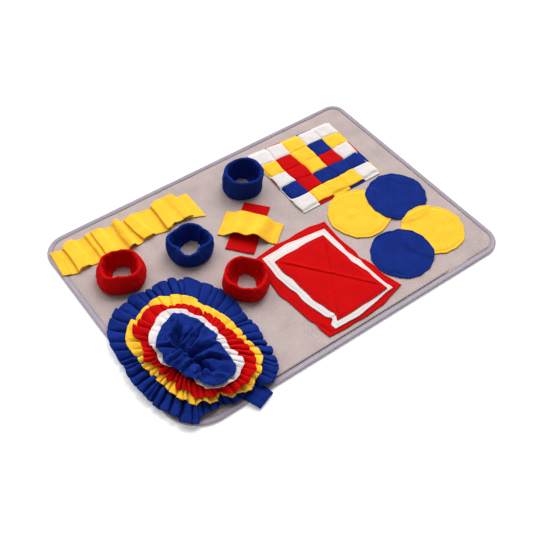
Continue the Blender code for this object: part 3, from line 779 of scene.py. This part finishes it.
def round_patch(order, disc):
    """A hand-cut round patch, sewn down 3.5 mm from its edge and draped over the ones below."""
    angles = np.linspace(0, 2 * math.pi, DISC_ROUND, endpoint=False)
    seed = disc["x"] * 0.1
    cut = 1 + 0.010 * np.sin(5 * angles + seed) + 0.005 * np.sin(17 * angles + 2 * seed)
    facet = 2 * math.pi / DISC_FACETS
    turned = np.mod(angles + 0.16 * np.sin(3 * angles + seed) + seed, facet) - facet / 2
    cut *= (math.cos(facet / 2) / np.cos(turned)) ** 0.6
    shares = 1 - (1 - np.linspace(0.0004, 1, DISC_RINGS)) ** 1.25
    cut *= 1 + disc["longer"] * np.cos(angles - DISC_LONG_WAY) ** 2
    reach = disc["radius"] * shares[None, :] * cut[:, None]
    x = disc["x"] + reach * np.cos(angles)[:, None]
    y = disc["y"] + reach * np.sin(angles)[:, None]
    inset = disc["radius"] * cut[:, None] - reach
    level = disc_level(order, x, y) + 0.9
    puff = 0.9 * smooth(3.5, 9.0, inset) + 0.45 * bump(inset, 1.2, 1.6) - 0.15 * bump(inset, 3.6, 1.1)
    puff += creased(x, y, DISC_CREASES[disc["name"]]) * smooth(0.0, 5.0, inset)
    ripple = np.array([[noise.noise(Vector((a / 21, b / 21, seed))) for a, b in zip(*pair)]
                       for pair in zip(x, y)])
    pucker = 0.25 * np.sin(46 * angles + seed)[:, None] * bump(inset, 3.5, 3.0)
    grid = np.stack([x, y, level + puff + 0.7 * (ripple + 0.3) * smooth(2, 12, inset) + pucker], 2)
    colour = disc["name"].split("_")[1]
    name = disc["name"].replace("disc", "patch")
    piece = cloth_sheet(name, grid, 1.5, CLOTH[colour], ring=True)
    return piece, grid, colour


def round_patches():
    for order, disc in enumerate(rows(DISC_COLUMNS, DISCS)):
        piece, grid, colour = round_patch(order, disc)
        column = int(np.argmin(np.abs(grid[0, :, 0] - (disc["x"] + disc["radius"] - 3.6))))
        line = [(x, y, z + 0.8) for x, y, z in grid[:, column]]
        line.append(line[0])
        name = f"{piece.name}_stitches"
        seam = stitch_row(name, line, [(0, 0, 1)] * len(line), CLOTH[colour], width=0.5, height=0.25)
        size = 2 * disc["radius"] * MM
        area = math.pi * (disc["radius"] * MM) ** 2
        cloth_piece(piece, colour, [disc["name"]], [seam])


# ------------------------------------------------------------------ envelope
ENVELOPE_COLUMNS = ("name", "left", "right", "level", "flat")
ENVELOPE = (
    (
        "envelope_back_red",
        ((-44, -11), (-52, -45), (-58, -85), (-56, -130), (-52, -180), (-46, -225)),
        ((112, -12), (108, -60), (111, -100), (114, -135), (117, -170), (127, -211)),
        0.0,
        (0.18, 0.208),
    ),
    (
        "envelope_frame_white",
        ((-37, -20), (-39, -60), (-39, -95), (-35, -145), (-26, -190), (-28, -219)),
        ((99, -28), (98.5, -58), (99.5, -100), (102, -128), (104, -168), (106, -206)),
        2.1,
        (0.14, 0.194),
    ),
    (
        "envelope_front_red",
        ((-24, -40), (-26, -72), (-23, -105), (-19, -140), (-13, -185), (-15, -208)),
        ((86.5, -40), (87, -75), (89.5, -110), (93, -145), (96.5, -175), (99.5, -204)),
        4.2,
        (0.115, 0.167),
    ),
)
FAR_BOWS = {
    "envelope_back_red": (7, 10), "envelope_frame_white": (4, 6), "envelope_front_red": (3, 3),
}
SLITS = (((-22, -42), (99, -201)), ((86, -43), (-13, -204)))
SLIT_MARGIN = 9.0
PANEL_KINKS = {  # x, y, way x, way y, spread
    "envelope_back_red": (
        (112, -118, -4, 0, 9), (116, -150, 3, 0, 10), (-57, -105, -3, 0, 14), (-50, -190, 3, 0, 9),
        (10, -222, 0, 2.5, 14), (75, -224, 0, -2, 14), (30, -5, 0, -3, 16), (80, -6, 0, 2, 12),
    ),
    "envelope_frame_white": (
        (-25, -199, 7, 0, 6), (-31, -208, -4, 0, 6), (103, -126, 2, 0, 7), (101, -95, -2, 0, 10),
        (-39, -70, -2, 0, 12), (-36, -120, 3, 0, 12), (20, -216, 0, -1.5, 14), (20, -18, 0, 2.5, 16),
        (105, -206, 3, -2, 9),
    ),
    "envelope_front_red": (
        (-24, -90, 3, 0, 14), (-19, -150, -3, 0, 14), (-12, -196, 4, 0, 8), (93, -120, -3, 0, 10),
        (96, -155, 2.5, 0, 10), (40, -208, 0, 1.5, 16), (25, -38, 0, -2, 14),
    ),
}
PANEL_CREASES = {  # depth, width, lip, places along it
    "envelope_back_red": (
        (1.6, 2.2, 1, ((-56, -180), (-42, -205), (-38, -226))),
        (1.6, 2.2, -1, ((100, -214), (112, -196), (128, -190))),
        (1.2, 2.5, 1, ((113, -60), (104, -90), (114, -112))),
    ),
    "envelope_frame_white": ((1.4, 1.8, 1, ((-38, -190), (-20, -200), (-8, -196))),),
    "envelope_front_red": (
        (0.9, 1.9, 1, ((-21, -46), (40, -122), (98, -199))),
        (2.1, 2.2, 1, ((82, -51), (40, -122), (-6, -196))),
        (0.8, 2.5, 1, ((-14, -205), (6, -188), (20, -160))),
    ),
}


def away_from_line(x, y, start, end):
    """Distance of places from a line, and how far along it they are, from 0 to 1."""
    start, end = np.array(start, float), np.array(end, float)
    run = end - start
    length = np.linalg.norm(run)
    run /= length
    along = (x - start[0]) * run[0] + (y - start[1]) * run[1]
    beside = (y - start[1]) * run[0] - (x - start[0]) * run[1]
    return beside, along / length


def envelope_panel(panel, steps_x=86, steps_y=112):
    left = along_curve(panel["left"], steps_y)
    right = along_curve(panel["right"], steps_y)
    grid = np.zeros((steps_x, steps_y, 3))
    far, near = FAR_BOWS[panel["name"]]
    for i, share in enumerate(np.linspace(0, 1, steps_x)):
        grid[i, :, :2] = mix(left, right, share)
        swell = math.sin(math.pi * share)
        down = np.linspace(0, 1, steps_y)
        grid[i, :, 1] += swell * (far * (1 - down) ** 2 - near * down**2)
    for kink_x, kink_y, way_x, way_y, spread in PANEL_KINKS[panel["name"]]:
        pull = bump(np.hypot(grid[..., 0] - kink_x, grid[..., 1] - kink_y), 0, spread)
        grid[..., 0] += way_x * pull
        grid[..., 1] += way_y * pull
    x, y = grid[..., 0], grid[..., 1]
    across = np.linspace(0, 1, steps_x)[:, None] * 125
    down = np.linspace(0, 1, steps_y)[None, :] * 180
    inset = np.minimum(np.minimum(across, 125 - across), np.minimum(down, 180 - down))
    seed = panel["level"]
    ripple = np.array([[noise.noise(Vector((a / 30, b / 30, seed))) for a, b in zip(*pair)]
                       for pair in zip(x, y)])
    puff = 0.5 * smooth(3.0, 8.0, inset) + 0.35 * bump(inset, 1.0, 1.4) - 0.25 * bump(inset, 3.4, 1.0)
    level = ON_MAT + 0.9 + panel["level"] + puff + 0.5 * (ripple + 0.4) * smooth(2, 10, inset)
    level = level + creased(x, y, PANEL_CREASES[panel["name"]]) * smooth(0, 9, inset)
    if panel["name"] == "envelope_front_red":
        for number, (start, end) in enumerate(SLITS):
            beside, along = away_from_line(x, y, start, end)
            inside = smooth(0.03, 0.12, along) * smooth(0.03, 0.12, 1 - along)
            lip = 1.6 * bump(beside, 3.0, 2.4) - 0.3 * bump(beside, -3.0, 3.0)
            level = level + inside * lip * (0.7, 1.3)[number]
        level = level + 1.4 * bump(np.hypot(x - 80, (y + 117) * 0.8), 0, 16)
    grid[..., 2] = level
    return grid


def cut_slits(piece):
    """Cuts both diagonals through the uppermost panel with thin wedges."""
    for number, (start, end) in enumerate(SLITS):
        start, end = np.array(start, float), np.array(end, float)
        length = np.linalg.norm(end - start)
        run = (end - start) / length
        side = np.array((-run[1], run[0]))
        width = (0.55, 0.35)[number]
        points = []
        for along, half in ((SLIT_MARGIN, 0.1), (length / 2, width), (length - SLIT_MARGIN, 0.1)):
            for height in (ON_MAT + 2.0, ON_MAT + 14.0):
                for out in (-half, half):
                    points.append((*(start + run * along + side * out), height))
        faces = [(0, 1, 3, 2), (8, 10, 11, 9)]
        for base in (0, 4):
            faces += [(base, base + 2, base + 6, base + 4), (base + 1, base + 5, base + 7, base + 3)]
            faces += [(base, base + 4, base + 5, base + 1), (base + 2, base + 3, base + 7, base + 6)]
        wedge = make_piece(f"slit_wedge_{number}", points, faces, CLOTH["red"])
        cut = piece.modifiers.new("slit", "BOOLEAN")
        cut.operation, cut.solver, cut.object = "DIFFERENCE", "EXACT", wedge
        graph = bpy.context.evaluated_depsgraph_get()
        mesh = bpy.data.meshes.new_from_object(piece.evaluated_get(graph))
        piece.modifiers.clear()
        piece.data = mesh
        bpy.data.objects.remove(wedge)


def envelope():
    for panel in rows(ENVELOPE_COLUMNS, ENVELOPE):
        grid = envelope_panel(panel)
        colour = panel["name"].split("_")[-1]
        name = panel["name"].replace("envelope", "panel")
        piece = cloth_sheet(name, grid, 1.5, CLOTH[colour])
        inner_i, inner_j = 3, 2
        loop = [grid[i, inner_j] for i in range(inner_i, grid.shape[0] - inner_i)]
        loop += [grid[-inner_i - 1, j] for j in range(inner_j, grid.shape[1] - inner_j)]
        loop += [grid[i, -inner_j - 1] for i in range(grid.shape[0] - inner_i - 1, inner_i, -1)]
        loop += [grid[inner_i, j] for j in range(grid.shape[1] - inner_j - 1, inner_j, -1)]
        line = [(x, y, z + 0.75) for x, y, z in loop]
        seam = stitch_row(f"{name}_stitches", line, [(0, 0, 1)] * len(line), THREAD[colour])
        if panel["name"] == "envelope_front_red":
            cut_slits(piece)
        cloth_piece(piece, colour, [panel["name"]], sewn=[seam])


# ------------------------------------------------------------------- rosette
# Each ring has its own middle, and the two half sizes of the oval along which it is sewn.
# A fold row: where it starts, its reach there and at its end, and its depth; the sign of the
# last number is the side to which it leans.
FOLD_COLUMNS = ("start", "reach", "end_reach", "depth", "lean")
OUTER_FOLDS = (
    (7, 114, 122, 0.8, 1), (18, 122, 130, 0.5, 1), (28, 127, 138, 1.0, 1), (36, 139, 136, 0.8, 1),
    (41, 142, 144, 0.8, 1), (49.5, 145, 158, 0.5, 1), (62.5, 157, 151, 1.0, 1),
    (66.5, 160, 161, 0.8, 1), (72.5, 160, 161, 1.0, 1), (79.5, 163, 154, 0.4, 1),
    (84, 153, 152.5, 0.9, 1), (89.5, 152, 153, 0.5, 1), (95.5, 158, 158, 1.0, -1),
    (104, 157, 156, 0.25, 0), (111.5, 159, 156, 0.9, -1), (120, 155.5, 151, 0.4, -1),
    (128, 150, 140, 0.35, 0), (138, 138.5, 129, 0.8, -1), (146.5, 127.5, 121.5, 0.8, -1),
    (154, 121, 115, 0.8, 0), (160, 114, 114, 0.6, 0), (166, 114, 114, 1.0, -1),
    (174, 113, 113, 0.5, 0), (182.5, 113, 113.5, 1.0, 1), (192, 115, 115, 1.0, 1),
    (198, 116, 116, 0.5, 0), (203.5, 118, 122, 1.0, 1), (210.5, 122, 122, 1.0, 1),
    (219, 127, 129, 1.0, 1), (228, 137, 139, 1.0, 1), (236.5, 142, 141, 0.6, 1),
    (242, 132, 127, 0.8, -1), (246.5, 126, 123, 0.8, -1), (252, 123, 120, 0.5, -1),
    (258, 118, 117, 0.4, 0), (263, 119, 123, 0.4, 1), (268, 125, 127, 0.6, 1),
    (275, 126, 126, 0.4, 0), (283, 128, 128, 0.5, 0), (291, 136, 151, 1.0, 1),
    (300, 150, 150, 0.6, 1), (304, 149, 148, 0.8, 1), (310, 147, 143, 1.0, -1),
    (314.5, 143, 136, 0.7, -1), (321, 134, 132, 0.8, -1), (329.5, 126, 121, 1.0, -1),
    (335, 120.5, 120, 0.5, 0), (343.5, 119, 118, 0.4, 0), (353, 116, 115, 0.4, 0),
    (358, 115, 112, 1.0, 1),
)
YELLOW_FOLDS = (
    (6, 84.5, 86, 0.35, 1), (22, 85.5, 90, 0.4, 1), (34, 89.5, 94, 0.15, 1), (43, 94, 100, 0.5, 1),
    (52, 105, 110, 0.2, 1), (58, 109.5, 115, 0.2, 1), (66, 117, 122, 0.35, 1), (75, 121, 127, 0.8, 1),
    (84.5, 127, 124, 0.4, 0), (95, 123, 118, 0.4, 0), (105.5, 117, 116, 0.7, -1),
    (114, 122.5, 118.5, 0.9, -1), (124, 118, 111.5, 0.3, 0), (135.5, 110.5, 101, 0.8, -1),
    (145, 99.5, 93, 0.8, -1), (152.5, 90.5, 88, 0.7, 0), (161, 86, 83.5, 0.6, 0),
    (170, 83, 80, 0.4, 0),
    (175.5, 78.5, 81, 1.0, 1), (183, 81, 80.5, 0.3, 0), (190, 79.5, 81, 0.9, 1),
    (197, 81, 80, 0.7, 1), (204, 80, 86, 1.0, 1), (211, 87.5, 92, 0.8, 1), (221, 94, 98.5, 0.7, 1),
    (228, 98, 98, 0.9, 1), (232, 102, 107, 0.7, 1), (240, 109, 103, 0.9, 1),
    (245.5, 101, 109, 1.0, 1), (252, 109, 107, 0.4, 0), (260, 103, 98, 0.9, -1),
    (264, 99, 111, 1.0, 1), (270, 113.5, 113, 0.6, 0), (276, 113, 119, 0.8, 1),
    (281, 120, 125, 0.5, 0), (288, 124.5, 120, 0.6, 0), (295, 120, 122, 0.5, 0),
    (301, 123.5, 119, 0.7, -1), (309, 117.5, 117, 0.4, 0), (319, 114.5, 108, 0.7, -1),
    (327, 104.5, 95, 0.5, 0), (335, 92.5, 91.5, 0.5, 0), (343, 89, 87.5, 0.8, 1),
    (354, 86, 85, 0.4, 0),
)
RED_FOLDS = (
    (2, 72, 73.5, 0.6, 1), (13, 73, 75, 0.8, 1), (21, 75.5, 76, 0.6, 1),
    (27, 75, 79, 1.0, 1), (36, 77.5, 80, 0.8, 1), (41, 71, 71, 1.0, 0),
    (43.5, 80.5, 85, 1.0, 1), (52, 86, 93, 1.0, 1), (60, 94.5, 97, 0.7, 1),
    (67, 97, 98, 0.4, 1), (74, 98, 98, 0.8, 1), (80, 98.5, 111, 0.6, 1), (87, 112, 115.5, 0.3, 0),
    (96, 115.5, 110.5, 0.35, 0), (109, 110.5, 106.5, 1.0, -1), (117, 112, 106, 1.0, -1),
    (127.5, 104, 89, 0.7, -1), (131.5, 87.5, 82, 0.8, -1), (140, 82, 77.5, 0.6, 0),
    (149, 77, 80, 0.5, 0),
    (156, 79.5, 79, 0.6, 1), (162.5, 70.5, 69, 0.9, 0), (171, 68.5, 62, 0.5, 0),
    (180, 60.5, 69.5, 0.8, 1), (187.5, 68, 63, 0.9, -1), (195, 62, 69.5, 1.0, 1),
    (202, 69.5, 66.5, 0.6, -1), (209, 65.5, 67.5, 0.9, 1), (215.5, 76, 80, 1.0, 1),
    (222, 79.5, 76, 0.7, 1), (230, 76, 87, 1.0, 1), (236, 88.5, 94, 0.6, 1), (243, 95, 93, 0.5, 1),
    (249, 93.5, 100, 0.6, 1), (258, 100.5, 94, 1.0, 1), (263, 93.5, 94, 0.5, 0),
    (267, 99, 110, 0.6, 1), (274.5, 110.5, 108, 1.0, 1), (282, 109, 114, 0.6, 1),
    (288, 115.5, 113, 0.8, 1), (293.5, 112, 111.5, 1.0, 1), (302, 112.5, 109, 0.8, -1),
    (309, 108.5, 105, 0.5, 0), (318, 104, 97, 1.0, -1), (325, 94, 90.5, 0.7, -1),
    (333, 88, 80, 0.5, 0), (342, 76.5, 78.5, 0.7, 1), (348, 78.5, 75, 1.0, 1),
    (356, 73.5, 72, 0.5, 0),
)
WHITE_FOLDS = (
    (0, 53, 57, 0.5, 0), (10, 57, 57.5, 0.5, 0), (20, 57.5, 62, 0.5, 1), (32, 63, 67, 0.7, 1),
    (45, 67, 70, 0.5, 1), (54, 70.5, 75.5, 0.5, 1), (61, 81, 85, 0.8, 1), (70, 85.5, 93, 0.4, 1),
    (84, 92.5, 93, 0.3, 0), (93, 91, 85, 0.8, -1), (104, 84.5, 80, 0.3, 0),
    (115, 79.5, 71, 0.7, -1), (137, 66, 57, 0.9, -1),
    (151, 55, 55.5, 0.25, 0), (163, 55.5, 55, 0.2, 0), (175, 54, 47, 0.7, 0),
    (190, 44.5, 44, 0.6, 0), (202, 43, 43, 0.4, 0),
    (211, 44, 45, 0.5, 0), (219, 43, 44, 0.5, 0), (227, 45, 50, 0.5, 0), (235, 50, 62, 0.8, 1),
    (243, 65, 75, 0.7, 1), (252, 78, 82, 0.6, 1), (262, 83, 88, 0.5, 0), (271, 89.5, 92.5, 0.4, 0),
    (284, 92.5, 90, 0.4, 0), (298, 89.5, 90.5, 0.5, 0), (307, 89, 82, 0.5, -1),
    (314.5, 76, 74, 1.0, 1), (321, 72.5, 63, 0.8, -1), (326, 62, 58, 0.4, 0),
    (337, 57.5, 57.5, 0.4, 0), (348, 58.5, 54, 0.8, -1),
)
MIDDLE_EDGE = (  # degrees, reach
    (0, 50), (20, 49.5), (30, 52), (35, 54), (40, 57.5), (50, 63), (60, 67), (65, 74), (70, 79),
    (77, 81.5), (80, 80), (85, 77), (90, 75), (100, 70), (110, 65.5), (120, 62.5), (130, 60.5),
    (140, 58), (145, 53), (150, 48), (155, 46), (165, 48), (180, 46.5), (195, 44), (213, 42.5),
    (217, 47), (225, 50), (238, 52.5), (243, 57), (250, 60), (255, 67), (260, 73), (265, 78),
    (275, 82), (283, 83), (285, 77), (287.5, 83.5), (295, 82), (300, 78.5), (305, 74), (310, 66),
    (313, 61), (318, 57), (325, 53), (335, 50), (345, 47.5), (353, 42), (357, 46),
)
MIDDLE_CREASES = (  # depth, width, lip, places along it
    (10.0, 3.0, -1, ((-242, -62), (-243, -76), (-254, -86), (-263, -94), (-272, -99))),
    (9.0, 7.0, 0, ((-264, -95), (-272, -101))),
    (6.0, 2.2, 1, ((-217, -95), (-239, -102), (-252, -106), (-262, -110))),
    (5.0, 2.6, 1, ((-222, -106), (-242, -122), (-258, -128))),
    (3.0, 2.5, 0, ((-216, -105), (-217, -127))),
    (4.0, 4.0, 1, ((-262, -142), (-236, -146), (-214, -150))),
    (6.5, 2.6, 1, ((-262, -158), (-243, -164), (-230, -180), (-217, -195))),
    (7.0, 2.2, -1, ((-256, -188), (-243, -201), (-237, -208), (-236, -218))),
    (7.0, 2.6, 1, ((-260, -163), (-264, -174), (-282, -181), (-290, -182))),
    (4.0, 1.7, 1, ((-305, -98), (-284, -108), (-273, -114))),
    (7.0, 2.4, -1, ((-306, -123), (-290, -122), (-276, -118))),
    (6.0, 2.4, -1, ((-303, -138), (-286, -135), (-272, -130))),
    (6.0, 2.0, 1, ((-297, -163), (-280, -158), (-266, -152))),
    (6.0, 2.2, 1, ((-278, -196), (-273, -182), (-262, -170))),
    (6.5, 4.0, 0, ((-270, -97), (-270, -118), (-268, -135), (-264, -156), (-258, -177), (-256, -192))),
)
MIDDLE_SWELLS = (  # height, spread, place
    (4.5, 20, (-283, -85)), (3.0, 12, (-251, -98)), (2.5, 10, (-240, -133)), (2.5, 11, (-236, -160)),
    (3.5, 12, (-284, -148)), (3.0, 9, (-283, -171)), (3.0, 10, (-250, -208)), (2.5, 9, (-232, -112)),
    (2.5, 9, (-296, -111)),
)
RING_COLUMNS = (
    "name", "x", "y", "sewn_x", "sewn_y", "crest", "edge", "bed", "wave", "notch", "folds", "flat",
)
RINGS = (
    ("ruffle_blue_outer", -249.3, -114.9, 66, 96, 16.5, 12.0, 6.0, 13.0, 3.6, OUTER_FOLDS,
     (0.065, 1.25)),
    ("ruffle_yellow", -252.3, -120.5, 50, 82, 24.0, 22.0, 19.6, 9.0, 2.6, YELLOW_FOLDS,
     (0.046, 0.92)),
    ("ruffle_red", -254.8, -125.2, 36, 68, 31.0, 29.0, 26.6, 10.0, 3.6, RED_FOLDS,
     (0.05, 1.0)),
    ("ruffle_white", -256.9, -129.3, 23, 52, 37.0, 35.4, 34.3, 6.0, 1.6, WHITE_FOLDS,
     (0.045, 0.57)),
)
CREST_REACH = 11.0
STRAIGHT = ((0, -0.3), (0.07, 0.3), (0.25, 0.8), (0.5, 1.0), (0.75, 0.8), (0.93, 0.3))
LEANING = (
    (0, -0.4), (0.08, -0.2), (0.15, 0.3), (0.3, 0.66), (0.6, 0.88), (0.92, 1.0), (1.06, 0.76), (1.04, 0.1),
)
DEEPER = (  # degrees, how much deeper the folds are there than the tables say
    (0, 0.7), (40, 0.7), (80, 1.05), (140, 1.1), (180, 1.3), (230, 1.5), (280, 1.35), (320, 1.0),
)
FOLD_STEPS = 16


def fold_path(lean):
    """Across and height of one fold, from its valley to just short of the next."""
    straight = along_curve([*STRAIGHT, (1, -0.3)], FOLD_STEPS + 1)
    leaning = along_curve([*LEANING, (1, -0.3)], FOLD_STEPS + 1)
    if lean < 0:
        leaning = leaning[::-1] * (-1, 1) + (1, 0)
    path = mix(straight, leaning, abs(lean))[:-1]
    return path[:, 0], path[:, 1]


def sewn_reach(angle, half_x, half_y):
    return 1 / np.hypot(np.cos(angle) / half_x, np.sin(angle) / half_y)


def ring_of_folds(folds, seed):
    """Round the ring: angle, free edge, height in the fold, depth of the fold and slant."""
    folds = rows(FOLD_COLUMNS, folds)
    columns = []
    for index, fold in enumerate(folds):
        following = folds[(index + 1) % len(folds)]
        end = following["start"] + (360 if index + 1 == len(folds) else 0)
        lean = fold["lean"] * (0.75 + 0.25 * float(uneven(index, seed)))
        across, height = fold_path(lean)
        inside = np.clip(across, 0, 1)
        slant = mix(uneven(index, seed), uneven((index + 1) % len(folds), seed), inside)
        reach = mix(fold["reach"], fold["end_reach"], inside)
        depth = mix(fold["depth"], 0.5 * (fold["depth"] + following["depth"]), inside**2)
        depth *= (0.9 + 0.4 * uneven(index, seed + 1)) * ring_values(fold["start"], DEEPER)
        angle = mix(fold["start"], end, across)
        columns.append(np.stack([np.radians(angle), reach, height, depth, slant], 1))
    return np.concatenate(columns)


def ruffle(ring, steps=24):
    """Rises from its sewn edge to a crest and runs out to the free edge in deepening folds."""
    angle, reach, height, depth, slant = ring_of_folds(ring["folds"], len(ring["name"])).T
    shares = np.linspace(0, 1, steps) ** 0.9
    sewn = sewn_reach(angle, ring["sewn_x"], ring["sewn_y"])
    edge = reach - ring["notch"] * depth * (1 - height)
    grid = np.zeros((len(angle), steps, 3))
    foot = ON_MAT + 1.2
    seed = len(ring["name"])
    curl = [noise.noise(Vector((3.4 * math.cos(a), 3.4 * math.sin(a), seed))) for a in angle]
    for step, share in enumerate(shares):
        open_fold = mix(0.5, 1.15, smooth(0.05, 0.35, share)) * mix(1.0, 0.6, smooth(0.55, 1.0, share))
        turned = angle + np.radians(2.4) * slant * (1 - share) ** 1.2
        out = mix(sewn, edge, share)
        risen = smooth(0.0, 1.0, np.clip((out - sewn) / CREST_REACH, 0, 1))
        base = mix(foot, ring["crest"], risen)
        base -= (ring["crest"] - ring["edge"]) * float(smooth(0.35, 1.0, share))
        level = base + ring["wave"] * depth * open_fold * (height - 0.75) * mix(0.5, 1, risen)
        level += 4.5 * np.array(curl) * smooth(0.6, 1.0, share)
        grid[:, step, 0] = ring["x"] + out * np.cos(turned)
        grid[:, step, 1] = ring["y"] + out * np.sin(turned)
        level = np.minimum(level, ring["crest"] + 0.65 * ring["wave"])
        grid[:, step, 2] = np.maximum(level, mix(foot, ring["bed"], risen))
    grid = soften(grid, 16.0, 1.6, seed) + soften(grid, 6.0, 0.5, seed + 4) - grid
    grid[..., 2] = np.maximum(grid[..., 2], foot)
    colour = ring["name"].split("_")[1]
    piece = cloth_sheet(ring["name"].replace("ruffle", "frill"), grid, 1.5, CLOTH[colour], ring=True)
    cloth_piece(piece, colour, [ring["name"]])


MIDDLE_X, MIDDLE_Y = -259.9, -135.0
MIDDLE_SLOPE = ((0.0, 47.0), (0.35, 48.0), (0.6, 47.6), (0.8, 46.4), (0.92, 44.8), (1.0, 42.8))


def middle_ruffle(around=230, steps=50):
    """The gathered middle: soft lobes between creases that run into one long seam."""
    degrees = np.linspace(0, 360, around, endpoint=False)
    reach = ring_values(degrees, MIDDLE_EDGE)
    reach = 0.25 * np.roll(reach, 1) + 0.5 * reach + 0.25 * np.roll(reach, -1)
    shares = np.linspace(0.001, 1, steps)
    out = reach[:, None] * shares[None, :]
    x = MIDDLE_X + out * np.cos(np.radians(degrees))[:, None]
    y = MIDDLE_Y + out * np.sin(np.radians(degrees))[:, None]
    level = np.interp(shares, *zip(*MIDDLE_SLOPE))[None, :] + 0 * x
    level += 2.0 * creased(x, y, MIDDLE_CREASES) * (1 - 0.7 * smooth(0.84, 1.0, shares))
    for height, spread, (swell_x, swell_y) in MIDDLE_SWELLS:
        level += height * bump(np.hypot(x - swell_x, y - swell_y), 0, spread)
    level = np.maximum(level, mix(25.0, 41.9, smooth(0.48, 0.72, shares)))
    grid = np.stack([x, y, level], 2)
    grid = soften(grid, 18.0, 1.6, 3.0) + soften(grid, 8.0, 1.0, 5.0) - grid
    piece = cloth_sheet("frill_blue_middle", grid, 1.5, CLOTH["blue"], ring=True)
    cloth_piece(piece, "blue", ["ruffle_blue_middle"])


TAIL_START, TAIL_END = (-217.0, -226.0), (-204.0, -263.0)
TAIL_WIDTH = 40.0
TAIL_COLUMNS = ("share", "level", "ridge")
TAIL = ((0.0, 6.3, 0.0), (0.35, 6.3, 0.3), (0.6, 6.4, 0.9), (0.78, 6.3, 1.4), (0.9, 5.0, 1.8), (1.0, 3.7, 2.0))


def tail():
    """The loose end of the outer strip, lying over the taped edge."""
    run = np.array(TAIL_END) - np.array(TAIL_START)
    length = np.linalg.norm(run)
    side = np.array((-run[1], run[0])) / length
    path = along_curve(TAIL, 26)
    grid = []
    for share, level, ridge in path:
        half = TAIL_WIDTH / 2 * (1 - 0.1 * share)
        line = []
        for out in np.linspace(-1, 1, 30):
            x, y = np.array(TAIL_START) + run * share + side * half * out
            fold = ridge * float(bump(out, 0.1, 0.35)) + 0.6 * float(bump(out, -0.65, 0.2))
            line.append((x, y, level + fold))
        grid.append(line)
    grid = soften(np.array(grid), 14.0, 0.5, 2.0)
    piece = cloth_sheet("frill_tail", grid, 1.5, CLOTH["blue"])
    cloth_piece(piece, "blue", ["ruffle_tail_blue"])


# ---------------------------------------------------------------- the studio
def studio():
    """A white floor under an even sky, a soft light from the right, and the camera."""
    dye = Dye("white_floor")
    tone = dye.blend(dye.grain(dye.place(), 3.0), dyed(250, 250, 250), dyed(253, 253, 253))
    skin = dye.node("ShaderNodeBsdfPrincipled", {}, **{
        "Base Color": tone, "Roughness": 0.9, "Specular IOR Level": 0.1,
        "Emission Color": (1.0, 1.0, 1.0, 1.0), "Emission Strength": 0.22})
    dye.node("ShaderNodeOutputMaterial", {}, skin)
    size = 6000.0
    corners = [(-size, -size, -0.05), (size, -size, -0.05), (size, size, -0.05), (-size, size, -0.05)]
    floor = make_piece("mat_floor", corners, [(0, 1, 2, 3)], dye.material)

    world = bpy.data.worlds.new("even_sky")
    world.use_nodes = True
    world.node_tree.nodes["Background"].inputs["Color"].default_value = (1.0, 1.0, 1.0, 1.0)
    world.node_tree.nodes["Background"].inputs["Strength"].default_value = 0.27
    bpy.context.scene.world = world

    for name, way, energy, spread in (
        ("soft_key", (-1.0, -0.5, -1.0), 2.42, 42),
        ("soft_top", (-0.1, -1.1, -1.0), 2.36, 66),
    ):
        sun = bpy.data.lights.new(name, "SUN")
        sun.energy, sun.angle = energy, math.radians(spread)
        lamp = bpy.data.objects.new(name, sun)
        lamp.rotation_mode = "QUATERNION"
        lamp.rotation_quaternion = Vector(way).to_track_quat("-Z", "Y")
        bpy.context.scene.collection.objects.link(lamp)

    lens = bpy.data.cameras.new("camera")
    lens.lens, lens.sensor_width = 60.03, 36.0
    camera = bpy.data.objects.new("camera", lens)
    camera.location = (-0.64832, -0.87306, 1.22033)
    camera.rotation_mode = "QUATERNION"
    aim = Vector((-0.0374125, -0.03321915, 0.0)) - Vector(camera.location)
    camera.rotation_quaternion = aim.to_track_quat("-Z", "Y")
    bpy.context.scene.collection.objects.link(camera)
    bpy.context.scene.camera = camera
    bpy.context.scene.view_settings.view_transform = "Standard"


studio()
felt_pad()
taped_edge()
pleated_strip()
for tube in rows(TUBE_COLUMNS, TUBES):
    stand_up_ring(tube)
for strip in rows(CROSS_COLUMNS, CROSS):
    cross_strip(strip)
for index in range(WEAVE_COUNT):
    weave_strip(WEAVE_DOWN[index], index, True)
    weave_strip(WEAVE_ACROSS[index], index, False)
round_patches()
envelope()
for ring in rows(RING_COLUMNS, RINGS):
    ruffle(ring)
middle_ruffle()
tail()
